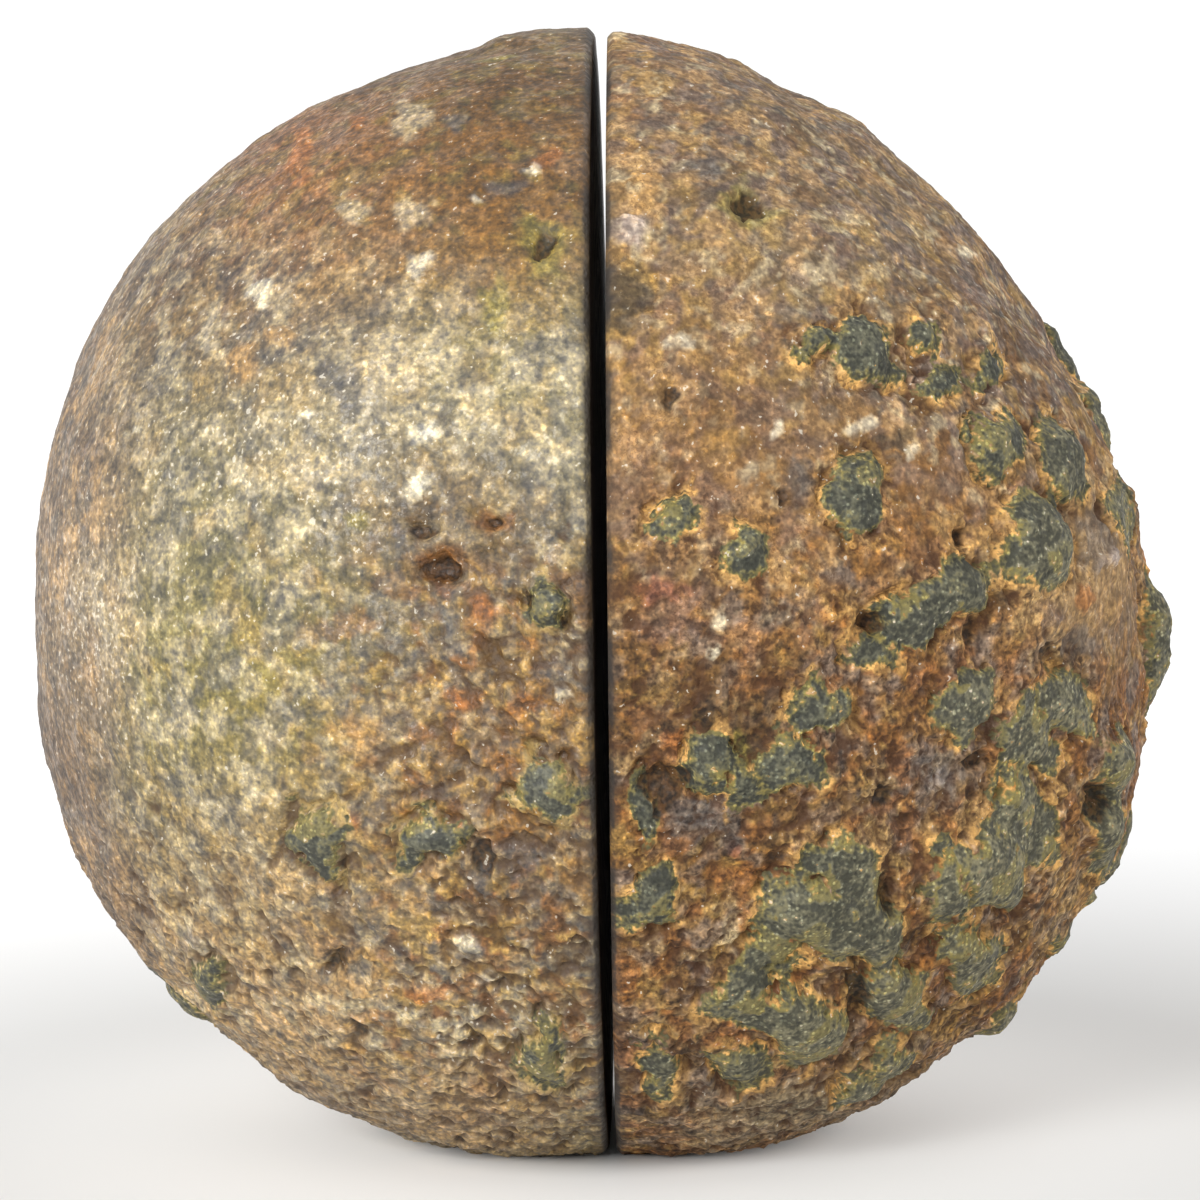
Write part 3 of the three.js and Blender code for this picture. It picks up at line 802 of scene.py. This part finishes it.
def placed_marks(half, points):
    """For each mark of the front its colour and its cover over the points, and the relief of all."""
    series = Series(half.seed + 100)
    marks = []
    relief = np.zeros(len(points))
    for kind, x, z, width, height in half.marks:
        mark = new_patch(seen_axes(half, x, z), width, height, series)
        shade, share, rise = MARK_KINDS[kind]
        reach = reach_of(mark, points) + 0.45 * wave(points, 1.2, 85) + 0.3 * wave(points, 0.7, 86)
        cover = ramp(reach, 1.2, 0.6)
        if kind == "ring":
            cover = ramp(reach, 1.35, 1.1) * ramp(reach, 0.55, 0.85)
        marks.append((shade, share * cover))
        relief += rise * cover
    return marks, relief


def worn_share(half, points):
    """1 where the rind is rubbed smooth, 0 where it is rough."""
    x, z = points[:, 0], points[:, 2] + 4 * wave(points, 14, 80)
    if half.side > 0:
        return np.minimum(0.42 + 0.43 * ramp(z, -6, 12) + 0.3 * ramp(x, 28, 35), 0.85)
    near_cut = ramp(-x, 19, 8) * ramp(z, 14, 0)
    low = ramp(z, -8, -18)
    return 1 - np.maximum(near_cut * 0.85, low * 0.5)


def glint_share(half, points):
    """How thickly painted glints lie, bright specks that stand for highlights: most on the worn front that
    faces the light.
    """
    front = ramp(points[:, 1], 5, -10)
    if half.side > 0:
        return 0.12 + 0.3 * front * ellipse_share(points, 12, 17, 14, 10)
    return (
        0.2
        + front * 0.65 * ellipse_share(points, -20, 13, 11, 11)
        + front * 0.9 * ellipse_share(points, -34.5, 0, 4.5, 7)
        + front * 0.4 * ellipse_share(points, -9, -26, 8, 4)
    )


class Tint:
    """The colour of a half's stone at its points, laid on in broad zones and in mottles."""

    def __init__(self, points, base):
        self.points = points
        self.colours = np.tile(base, (len(points), 1))
        behind = ramp(points[:, 1], 0, 20)
        sway = (4 + 12 * behind) * wave(points, 14, 81)
        self.swayed = points + np.stack([0.6 * sway, 0 * sway, 0.8 * sway], axis=1)

    def lay(self, shade, share):
        self.colours = self.colours + (np.array(shade) - self.colours) * share[:, None]

    def zones(self, *rows):
        """Soft ellipses as seen from the front, by colour, share, x, z, width and height."""
        for shade, share, x, z, wide, high in rows:
            self.lay(shade, share * ellipse_share(self.swayed, x, z, wide, high))

    def mottles(self, where, *rows):
        """Spots by colour, share, size, seed, and how high the noise is at their edges."""
        for shade, share, size, seed, least in rows:
            spots = fractal(self.points, size, seed)
            self.lay(shade, share * ramp(spots, least, least + 0.12) * where)


def worn_tint(points):
    """The left half: beige-grey with olive, mauve and pinkish zones, orange by the cut and brown on top."""
    tint = Tint(points, BEIGE_GREY)
    near_cut = ramp(-points[:, 0], 24, 10) * ramp(points[:, 2], 12, 0) * ramp(points[:, 2], -40, -28)
    far_side = ramp(-points[:, 0], 30, 35)
    top = ramp(points[:, 2], 24, 29)
    tint.zones(
        (MAUVE, 0.9, -23, 26, 14, 9), (MAUVE_BROWN, 0.8, -27, 24, 8, 8), (OLIVE, 0.85, -21, -3, 13, 9),
        (OLIVE, 0.6, -6, 22, 6, 6), (PALE_BEIGE, 0.3, -13, 17, 8, 6), (MID_BROWN, 0.85, -9, 8, 7, 6),
        (ORANGE, 0.9, -5, -11, 10, 14), (PINKISH, 0.9, -24, -26, 20, 13),
    )
    tint.mottles(
        1.0,
        (SLATE_GREY, 0.55, 3.0, 82, 0.12), (SLATE_GREY, 0.45, 1.5, 93, 0.12),
        (PALE_BEIGE, 0.45, 2.4, 83, 0.12), (PALE_BEIGE, 0.35, 1.3, 94, 0.16),
        (YELLOW_OCHRE, 0.25, 3.6, 84, 0.15),
    )
    tint.mottles(
        near_cut,
        (SLATE_GREY, 0.75, 1.9, 89, 0.1), (RUST_BROWN, 0.75, 2.2, 91, 0.08),
        (YELLOW_OCHRE, 0.7, 1.8, 92, 0.12),
    )
    tint.mottles(ellipse_share(points, -10, -26, 9, 4), (PALE_BEIGE, 0.9, 1.6, 95, 0.06))
    tint.zones((ORANGE, 0.4, -7, -9, 8, 9))
    tint.lay(MAUVE, 0.85 * ramp(-tint.swayed[:, 0], 29, 36))
    # A painted sheen: a pale patch at half height on the far left edge
    tint.zones((PALE_BEIGE, 0.4, -34.5, 0, 3, 5))
    tint.mottles(far_side, (PINKISH, 0.5, 3.2, 96, 0.06), (SLATE_GREY, 0.45, 2.2, 97, 0.1))
    # The first of these zones, low on the far side, is painted shade that darkens that edge
    tint.zones(
        (MAUVE_BROWN, 0.7, -38, -8, 5, 7), (MAUVE_BROWN, 0.3, -27, 24, 9, 9), (MID_BROWN, 0.35, -9, 8, 8, 6),
        (RUST_RED, 0.75, -18, 33, 13, 5), (ORANGE, 0.8, -6, 29, 11, 5), (TOP_BROWN, 1.0, -5, 36.5, 15, 9),
    )
    tint.mottles(
        top,
        (OLIVE, 0.35, 2.0, 101, 0.08), (MAUVE, 0.35, 2.6, 103, 0.14), (TOP_BROWN, 0.6, 1.4, 102, 0.12),
    )
    tint.zones((PINKISH, 0.5, -9, -35, 7, 5), (MAUVE, 0.6, -21, -36, 7, 4))
    return tint


def rough_tint(points):
    """The right half: orange-brown with slate mottles, tan and dun higher up, and painted shade in brown low
    down.
    """
    tint = Tint(points, ORANGE_BROWN)
    high = ramp(tint.swayed[:, 2], -2, 12)
    # The first zone is painted shade: it makes the right half darker towards the bottom
    tint.zones(
        (LOW_PAINTED_SHADE, 0.8, 12, -24, 20, 16), (WARM_TAN, 0.95, 5, 18, 14, 12),
        (YELLOW_OCHRE, 0.85, 3, 23, 4, 6), (RUST_RED, 0.5, 3, 36, 5, 4), (DUN, 0.8, 15, 25, 11, 8),
        (DUN, 0.6, 12, 37, 18, 8), (MAUVE_BROWN, 0.8, 29, 18, 8, 10), (MID_BROWN, 0.9, 6.5, -4.5, 8, 6),
        (MAUVE_BROWN, 0.6, 6, -26, 7, 8), (WARM_TAN, 0.9, 31, 1, 5, 5), (MAUVE_BROWN, 0.4, 20, 34, 12, 8),
        (WARM_TAN, 0.9, 33, -22, 5, 5), (WARM_TAN, 0.95, 20, -12, 6, 5),
    )
    tint.mottles(1.0, (SLATE_MAUVE, 0.85, 3.4, 82, 0.08), (SLATE_MAUVE, 0.6, 1.8, 87, 0.13))
    tint.mottles(0.6 + 0.2 * high, (YELLOW_OCHRE, 0.5, 2.4, 83, 0.12))
    tint.mottles(0.3 + 0.7 * high, (PINKISH, 0.6, 2.6, 84, 0.12))
    tint.mottles(1 - 0.7 * high, (RUST_BROWN, 0.7, 2.6, 88, 0.08))
    tint.mottles(high, (SLATE_GREY, 0.6, 1.3, 98, 0.2), (PALE_BEIGE, 0.5, 1.4, 99, 0.27))
    tint.zones(
        (MID_BROWN, 0.25, 6, 14, 10, 9), (ORANGE_BROWN, 0.5, 5, 14, 9, 9), (MID_BROWN, 0.9, 6.5, -4.5, 7, 6),
        (WARM_TAN, 0.9, 31, 1, 5, 5), (PINKISH, 0.4, 31, 1, 4, 4), (YELLOW_OCHRE, 0.4, 33, -22, 4, 4),
        (ORANGE_BROWN, 0.6, 20.5, 8, 5, 5), (DUN, 1.0, 12, -35, 7, 5), (MID_BROWN, 0.15, 10, 33, 12, 7),
    )
    return tint


def stone_tint(half, points, marks):
    """The colour of the stone under its crusts: zones and mottles, then single marks."""
    tint = worn_tint(points) if half.side < 0 else rough_tint(points)
    for shade, cover in marks:
        tint.lay(shade, cover)
    return tint.colours


# Materials


class Nodes:
    """Short ways to add and join the nodes of one material."""

    def __init__(self, material):
        material.use_nodes = True
        self.tree = material.node_tree
        self.tree.nodes.clear()

    def add(self, kind, inputs=None, **settings):
        node = self.tree.nodes.new("ShaderNode" + kind)
        for name, value in settings.items():
            setattr(node, name, value)
        for name, value in (inputs or {}).items():
            self.put(node.inputs[name], value)
        return node

    def put(self, socket, value):
        if isinstance(value, bpy.types.NodeSocket):
            self.tree.links.new(value, socket)
        elif socket.type == "RGBA" and len(value) == 3:
            socket.default_value = (*value, 1)
        else:
            socket.default_value = value

    def maths(self, operation, first, second=0.0, third=0.0):
        node = self.add("Math", {0: first, 1: second, 2: third}, operation=operation)
        return node.outputs[0]

    def times(self, first, second):
        return self.maths("MULTIPLY", first, second)

    def vectors(self, operation, first, second):
        node = self.add("VectorMath", {0: first, 1: second}, operation=operation)
        return node.outputs["Vector"]

    def scaled(self, vector, factor):
        node = self.add("VectorMath", {0: vector, "Scale": factor}, operation="SCALE")
        return node.outputs["Vector"]

    def mix(self, share, first, second):
        """A colour from the first to the second: the node has them at 6 and 7, and its own at 2."""
        node = self.add("Mix", {"Factor": share, 6: first, 7: second}, data_type="RGBA")
        return node.outputs[2]

    def step(self, value, low, high, least=0.0, most=1.0):
        """A smooth step from least to most as the value goes from low to high."""
        node = self.add(
            "MapRange",
            {"Value": value, "From Min": low, "From Max": high, "To Min": least, "To Max": most},
            interpolation_type="SMOOTHSTEP",
        )
        return node.outputs["Result"]

    def field(self, name, output="Fac"):
        node = self.add("Attribute", attribute_name=name, attribute_type="GEOMETRY")
        return node.outputs[output]

    def noise(self, points, per_millimetre, detail, roughness):
        inputs = {"Vector": points, "Scale": per_millimetre, "Detail": detail, "Roughness": roughness}
        return self.add("TexNoise", inputs).outputs["Fac"]

    def mosaic(self, points, per_millimetre):
        """Grains: two random shares for each grain, and the distance from its middle."""
        node = self.add("TexVoronoi", {"Vector": points, "Scale": per_millimetre}, feature="F1")
        parts = self.add("SeparateColor", {"Color": node.outputs["Color"]})
        return parts.outputs[0], parts.outputs[1], node.outputs["Distance"]

    def shifted(self, value, field, weight):
        """The value moved up where a field is over a half, and down where it is under it."""
        return self.maths("SUBTRACT", self.maths("MULTIPLY_ADD", field, weight, value), weight / 2)

    def shades(self, share, stops):
        """A colour by share, from stops of (share, colour)."""
        node = self.add("ValToRGB", {"Fac": share})
        node.color_ramp.interpolation = "EASE"
        bands = node.color_ramp.elements
        while len(bands) < len(stops):
            bands.new(0.5)
        for band, (place, shade) in zip(bands, stops):
            band.position = place
            band.color = (*shade, 1)
        return node.outputs["Color"]

    def soft_shades(self, share, middle, stops, between):
        """Shades by grain that fade into one shade between the grains."""
        return self.mix(self.step(middle, 0.3, 0.6), self.shades(share, stops), between)

    def tinted(self, base, shades):
        """The base colour multiplied by shades that are halved, so that a half leaves it as it is."""
        return self.scaled(self.vectors("MULTIPLY", base, shades), 2.0)

    def warped(self, points, amount, per_millimetre):
        """Points moved aside by noise, so that grains lose their even shapes."""
        noise = self.add("TexNoise", {"Vector": points, "Scale": per_millimetre, "Detail": 0.0})
        centred = self.vectors("SUBTRACT", noise.outputs["Color"], (0.5, 0.5, 0.5))
        return self.vectors("ADD", points, self.scaled(centred, amount))

    def millimetres(self):
        return self.scaled(self.add("TexCoord").outputs["Object"], METRE)

    def bump(self, height, strength, metres):
        node = self.add("Bump", {"Strength": strength, "Distance": metres, "Height": height})
        return node.outputs["Normal"]

    def shader(self, base, roughness, **inputs):
        """The surface: its colour, its roughness, and other inputs with _ for each space of their names."""
        named = {name.replace("_", " "): value for name, value in inputs.items()}
        node = self.add("BsdfPrincipled", {"Base Color": base, "Roughness": roughness, **named})
        self.add("OutputMaterial", {"Surface": node.outputs["BSDF"]})


def half_shade(red, green, blue):
    """A multiplier of red, green and blue, halved for Nodes.tinted."""
    return (red / 2, green / 2, blue / 2)


def stops(*rows):
    """Shades for Nodes.tinted, from rows of a place and a multiplier of red, green and blue."""
    return [(place, half_shade(*factors)) for place, *factors in rows]


class Rind(Nodes):
    """The nodes of one half's rind, with the fields and the patterns that its layers share."""

    def __init__(self, material, look):
        super().__init__(material)
        self.look = look
        self.fields = SimpleNamespace(**{name: self.field(name) for name in FIELDS})
        points = self.millimetres()
        bent = self.warped(points, amount=0.15, per_millimetre=1.6)
        aside = self.vectors("ADD", points, (CRUMBS_ASIDE,) * 3)
        self.crumbs = self.noise(aside, per_millimetre=2.2, detail=1.5, roughness=0.55)
        self.grain, _, self.grain_middle = self.mosaic(bent, GRAINS)
        self.fleck, self.other_fleck, self.fleck_middle = self.mosaic(points, look.fleck)
        self.crumb_share = self.shifted(self.crumbs, self.fields.cloud, 0.35)
        blots = self.noise(bent, per_millimetre=1.4, detail=2, roughness=0.6)
        blots = self.shifted(blots, self.fields.drift, 0.3)
        self.blot_share = self.maths("MULTIPLY_ADD", self.fields.glint, look.whitening, blots)


def bare_stone(n):
    """The tint with its blots, crumbs, grains and flecks, with painted shade in hollows, and dark clefts."""
    look = n.look
    tint = n.field("tint", "Color")
    grain_shades = n.soft_shades(n.grain, n.grain_middle, look.grain_shades, look.between)
    fleck_shades = n.soft_shades(n.fleck, n.fleck_middle, look.fleck_shades, look.between)
    stone = n.tinted(tint, n.shades(n.blot_share, look.blot_shades))
    stone = n.tinted(stone, n.shades(n.crumb_share, look.crumb_shades))
    stone = n.tinted(n.tinted(stone, grain_shades), fleck_shades)
    stone = n.mix(n.step(n.fields.wear, 0.5, 0.85, 0.0, look.calm), stone, tint)
    # Painted shade in the hollows, in a dark brown
    stone = n.mix(n.step(n.fields.cavity, 0.15, 0.9, 0.0, HOLLOW_SHADE_SHARE), stone, look.cavity)
    cleft = n.step(n.maths("ABSOLUTE", n.maths("SUBTRACT", n.crumbs, 0.5)), 0.022, 0.006)
    cleft = n.times(cleft, n.step(n.fields.drift, 0.5, 0.62, 0.0, look.clefts))
    return n.mix(cleft, stone, look.cavity)


def crust_colour(n, gap):
    """The dark green-grey crusts: mottled, speckled with pale grains, olive in places and at their edges."""
    chip = n.fields.chip
    flecks = n.soft_shades(n.fleck, n.fleck_middle, CRUST_SHADES, CRUST_BETWEEN)
    crust = n.mix(n.step(n.shifted(n.crumbs, chip, 0.3), 0.3, 0.7), CRUST_DARK, CRUST_PALE)
    crust = n.tinted(crust, flecks)
    crust = n.tinted(crust, n.mix(n.fields.crust_tone, CRUST_SHADOW, CRUST_LIGHT))
    olive = n.tinted(n.tinted(CRUST_OLIVE, n.shades(n.crumbs, CRUST_OLIVE_SHADES)), flecks)
    crust = n.mix(n.step(n.shifted(chip, n.crumbs, 0.5), 0.55, 0.9, 0.0, 0.65), crust, olive)
    edge = n.times(n.step(gap, -0.7, 0.0), n.step(n.crumbs, 0.3, 0.7, 0.4, 0.9))
    return n.mix(edge, crust, olive)


def with_crusts(n, stone):
    """The stone with its crusts, each with a paler rim round it, and crumbs of stone that show through."""
    uneven = n.maths("SUBTRACT", n.crumbs, 0.5)
    gap = n.maths("MULTIPLY_ADD", uneven, 1.4, n.fields.crust_gap)
    rim = n.tinted(n.look.rim, n.shades(n.other_fleck, n.look.fleck_shades))
    rim = n.tinted(rim, n.shades(n.crumb_share, n.look.crumb_shades))
    rim_share = n.times(n.step(gap, 0.85, 0.2), n.step(n.fields.cloud, 0.4, 0.62, 0.0, 0.8))
    stone = n.mix(rim_share, stone, rim)
    through = n.step(n.shifted(n.crumbs, n.fields.chip, 0.12), 0.68, 0.72, 1.0, 0.4)
    return n.mix(n.times(n.step(gap, 0.16, -0.12), through), stone, crust_colour(n, gap))


def with_pits(n, rind):
    """The rind with its pits in painted shade, its white specks of painted glint, and the dark ground edge
    at the cut, which is partly painted shade.
    """
    # Pits and dents darkened with painted shade
    pit_shade = n.mix(n.step(n.crumbs, 0.4, 0.6), PIT_SHADE_DARK, PIT_SHADE_BROWN)
    rind = n.mix(n.step(n.shifted(n.fields.pit, n.crumbs, 0.5), 0.3, 0.85, 0, 0.85), rind, pit_shade)
    # White specks that stand for glints, painted highlights, thickest where the glint field is high
    painted_glints = n.step(n.maths("MULTIPLY_ADD", n.fields.glint, 0.13, n.crumbs), 0.7, 0.76, 0.0, 0.5)
    rind = n.mix(n.times(painted_glints, n.step(n.fleck, 0.5, 0.65)), rind, PAINTED_GLINT_WHITE)
    # The ground edge, dark partly as painted shade where it turns into the gap
    return n.mix(n.times(n.fields.bevel, 0.94), rind, GROUND_EDGE_AND_SHADE)


def rind_material(name, look):
    material = bpy.data.materials.new(name)
    n = Rind(material, look)
    base = with_pits(n, with_crusts(n, bare_stone(n)))
    roughness = n.step(n.blot_share, 0.45, 0.7, look.rough, look.shiny)
    height = n.maths("MULTIPLY_ADD", n.fleck_middle, GRAIN_BUMP, n.crumbs)
    normal = n.bump(height, look.bump, metres=0.0004)
    n.shader(base, roughness, Normal=normal, Specular_IOR_Level=look.specular)
    return material


def sawn_material():
    """The sawn face: fine bands of chalcedony round the heart, which slow noise makes wander."""
    material = bpy.data.materials.new("sawn_agate")
    n = Nodes(material)
    points = n.millimetres()
    place = n.add("SeparateXYZ", {"Vector": points}).outputs
    up = n.maths("SUBTRACT", place["Z"], HEART_HEIGHT)
    reach = n.maths("SQRT", n.maths("ADD", n.maths("POWER", place["Y"], 2.0), n.maths("POWER", up, 2.0)))
    swell = n.noise(points, per_millimetre=0.09, detail=2, roughness=0.5)
    reach = n.maths("MULTIPLY_ADD", swell, BAND_SWAY, reach)
    band = n.maths("SINE", n.times(reach, BAND_TURN))
    thin = n.maths("SINE", n.times(reach, LINE_TURN))
    base = n.mix(n.step(band, -0.6, 0.6), BAND_DARK, BAND_PALE)
    base = n.mix(n.step(thin, 0.1, 0.9, 0, 0.5), base, BAND_LINE)
    base = n.mix(n.step(reach, 36.0, 40.5), base, FACE_EDGE)
    grain = n.noise(points, per_millimetre=3.0, detail=3, roughness=0.6)
    n.shader(base, n.step(grain, 0.3, 0.7, 0.34, 0.5), Normal=n.bump(grain, 0.35, metres=0.0001))
    return material


FIELDS = ("crust_gap", "cavity", "pit", "wear", "glint", "cloud", "drift", "chip", "crust_tone", "bevel")
BAND_TURN = 2.6
LINE_TURN = 9.5
BAND_SWAY = 9.0
GRAINS = 1.7
CRUMBS_ASIDE = 31.0
# How fully painted shade darkens the deepest hollows
HOLLOW_SHADE_SHARE = 0.75
GRAIN_BUMP = -0.15
CRUST_SHADOW = half_shade(0.68, 0.69, 0.7)
CRUST_LIGHT = half_shade(1.24, 1.17, 1.08)
CRUST_BETWEEN = half_shade(0.85, 0.86, 0.86)
CRUST_SHADES = stops(
    (0.08, 0.55, 0.55, 0.56), (0.4, 0.94, 0.94, 0.94), (0.75, 1.12, 1.12, 1.1), (0.95, 1.9, 1.98, 2.0),
)
CRUST_OLIVE_SHADES = stops((0.32, 0.72, 0.73, 0.75), (0.5, 0.95, 0.95, 0.95), (0.68, 1.25, 1.22, 1.15))

# The two rinds. Fleck is how many there are to a millimetre, calm is how far wear evens the colour,
# whitening is how far painted glints lighten the blots, and clefts is how dark the fine cracks are. Of the
# roughness, shiny is that of pale blots and rough that of the rest.
WORN_LOOK = SimpleNamespace(
    fleck=3.9,
    calm=0.05,
    whitening=0.08,
    blot_shades=stops(
        (0.35, 0.58, 0.61, 0.7), (0.43, 0.82, 0.84, 0.88), (0.5, 1.0, 1.0, 0.93),
        (0.57, 1.12, 1.1, 0.98), (0.66, 1.45, 1.48, 1.5),
    ),
    crumb_shades=stops(
        (0.35, 0.62, 0.64, 0.68), (0.44, 0.9, 0.91, 0.9), (0.52, 1.03, 1.02, 0.97), (0.64, 1.35, 1.32, 1.22),
    ),
    grain_shades=stops((0.05, 0.72, 0.73, 0.78), (0.5, 1.0, 1.0, 0.98), (0.95, 1.25, 1.2, 1.1)),
    fleck_shades=stops((0.05, 0.72, 0.74, 0.78), (0.5, 1.0, 1.0, 0.98), (0.95, 1.32, 1.32, 1.26)),
    between=half_shade(0.92, 0.92, 0.94),
    # The dark brown of painted shade in hollows, which the clefts take too
    cavity=colour(70, 48, 26),
    clefts=0.25,
    rim=colour(158, 134, 86),
    rough=0.62,
    shiny=0.4,
    specular=0.5,
    bump=0.35,
)
ROUGH_LOOK = SimpleNamespace(
    fleck=3.7,
    calm=0.4,
    whitening=0.05,
    blot_shades=stops(
        (0.35, 0.5, 0.5, 0.52), (0.43, 0.82, 0.82, 0.82), (0.5, 1.06, 1.07, 1.04),
        (0.58, 1.26, 1.25, 1.16), (0.68, 1.65, 1.7, 1.7),
    ),
    crumb_shades=stops(
        (0.35, 0.45, 0.4, 0.36), (0.43, 0.86, 0.85, 0.83), (0.52, 1.1, 1.1, 1.07), (0.65, 1.5, 1.48, 1.4),
    ),
    grain_shades=stops((0.05, 0.68, 0.66, 0.66), (0.5, 1.0, 1.0, 1.0), (0.95, 1.34, 1.26, 1.1)),
    fleck_shades=stops((0.05, 0.66, 0.63, 0.62), (0.5, 1.0, 1.0, 0.98), (0.95, 1.42, 1.38, 1.3)),
    between=half_shade(0.96, 0.96, 0.94),
    # The dark brown of painted shade in hollows, which the clefts take too
    cavity=colour(72, 46, 26),
    clefts=0.5,
    rim=colour(180, 140, 84),
    rough=0.85,
    shiny=0.55,
    specular=0.4,
    bump=0.4,
)


# The floor and the light, in metres, and the camera


def make_floor():
    """A pale floor, a little greyer in painted shade near the stone than far off, where it runs out into
    white; a painted glow rings the stone.
    """
    bpy.ops.mesh.primitive_circle_add(vertices=96, radius=6.0, fill_type="NGON")
    floor = bpy.context.object
    floor.name = "floor"
    material = bpy.data.materials.new("pale_floor")
    n = Nodes(material)
    place = n.add("TexCoord").outputs["Object"]
    away = n.add("VectorMath", {0: place}, operation="LENGTH").outputs["Value"]
    cloud = n.noise(place, 9.0, detail=2, roughness=0.5)
    # Painted shade: the floor near the stone is grey, in soft patches
    near = n.mix(n.step(cloud, 0.3, 0.7), FLOOR_SHADE_GREY, FLOOR_SHADE_PALE)
    tone = n.mix(n.step(away, 0.045, 0.15), near, FLOOR_FAR)
    # Painted light: a faint glow in a ring round the stone lifts the shadow on the floor
    glow = n.times(n.step(away, 0.01, 0.018), n.step(away, 0.06, 0.02))
    n.shader(
        tone, 0.75,
        Specular_IOR_Level=0.2, Emission_Color=(1, 0.99, 0.97, 1), Emission_Strength=n.times(glow, 0.3),
    )
    floor.data.materials.append(material)


def make_key_light():
    lamp = bpy.data.lights.new("key_left", "AREA")
    lamp.shape = "RECTANGLE"
    lamp.size = lamp.size_y = 0.5
    lamp.energy = 14.0
    light = bpy.data.objects.new("key_left", lamp)
    light.location = (-0.6, -1.15, 0.55)
    aim = Vector((0, 0, 0.04)) - light.location
    light.rotation_euler = aim.to_track_quat("-Z", "Y").to_euler()
    bpy.context.scene.collection.objects.link(light)


def make_sky():
    world = bpy.data.worlds.new("studio")
    bpy.context.scene.world = world
    world.use_nodes = True
    background = world.node_tree.nodes["Background"]
    background.inputs["Color"].default_value = (1, 1, 1, 1)
    background.inputs["Strength"].default_value = 1.06


def make_camera():
    camera = bpy.data.objects.new("camera", bpy.data.cameras.new("camera"))
    heart = Vector((CUT_PLACE, 0, HEART_HEIGHT))
    eye, right, up = sight_line(CAMERA_TURN)
    aim = right * PICTURE_MIDDLE[0] + up * PICTURE_MIDDLE[1]
    camera.location = (heart + eye) / METRE
    look = (aim - eye).to_track_quat("-Z", "Y")
    camera.rotation_euler = (look @ Matrix.Rotation(-PICTURE_LEAN, 3, "Z").to_quaternion()).to_euler()
    camera.data.sensor_width = SENSOR
    camera.data.lens = SENSOR * VIEW_DISTANCE / PICTURE_WIDTH
    camera.data.clip_start = 0.01
    camera.data.clip_end = 50
    bpy.context.scene.collection.objects.link(camera)
    bpy.context.scene.camera = camera


make_camera()
make_floor()
make_key_light()
make_sky()
sawn = sawn_material()
for half, look in ((LEFT, WORN_LOOK), (RIGHT, ROUGH_LOOK)):
    stone = build_half(half)
    stone.data.materials.append(rind_material(half.slot, look))
    stone.data.materials.append(sawn)
    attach(stone, "root")
    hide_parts(half.node)
bpy.context.scene.view_settings.view_transform = "Standard"
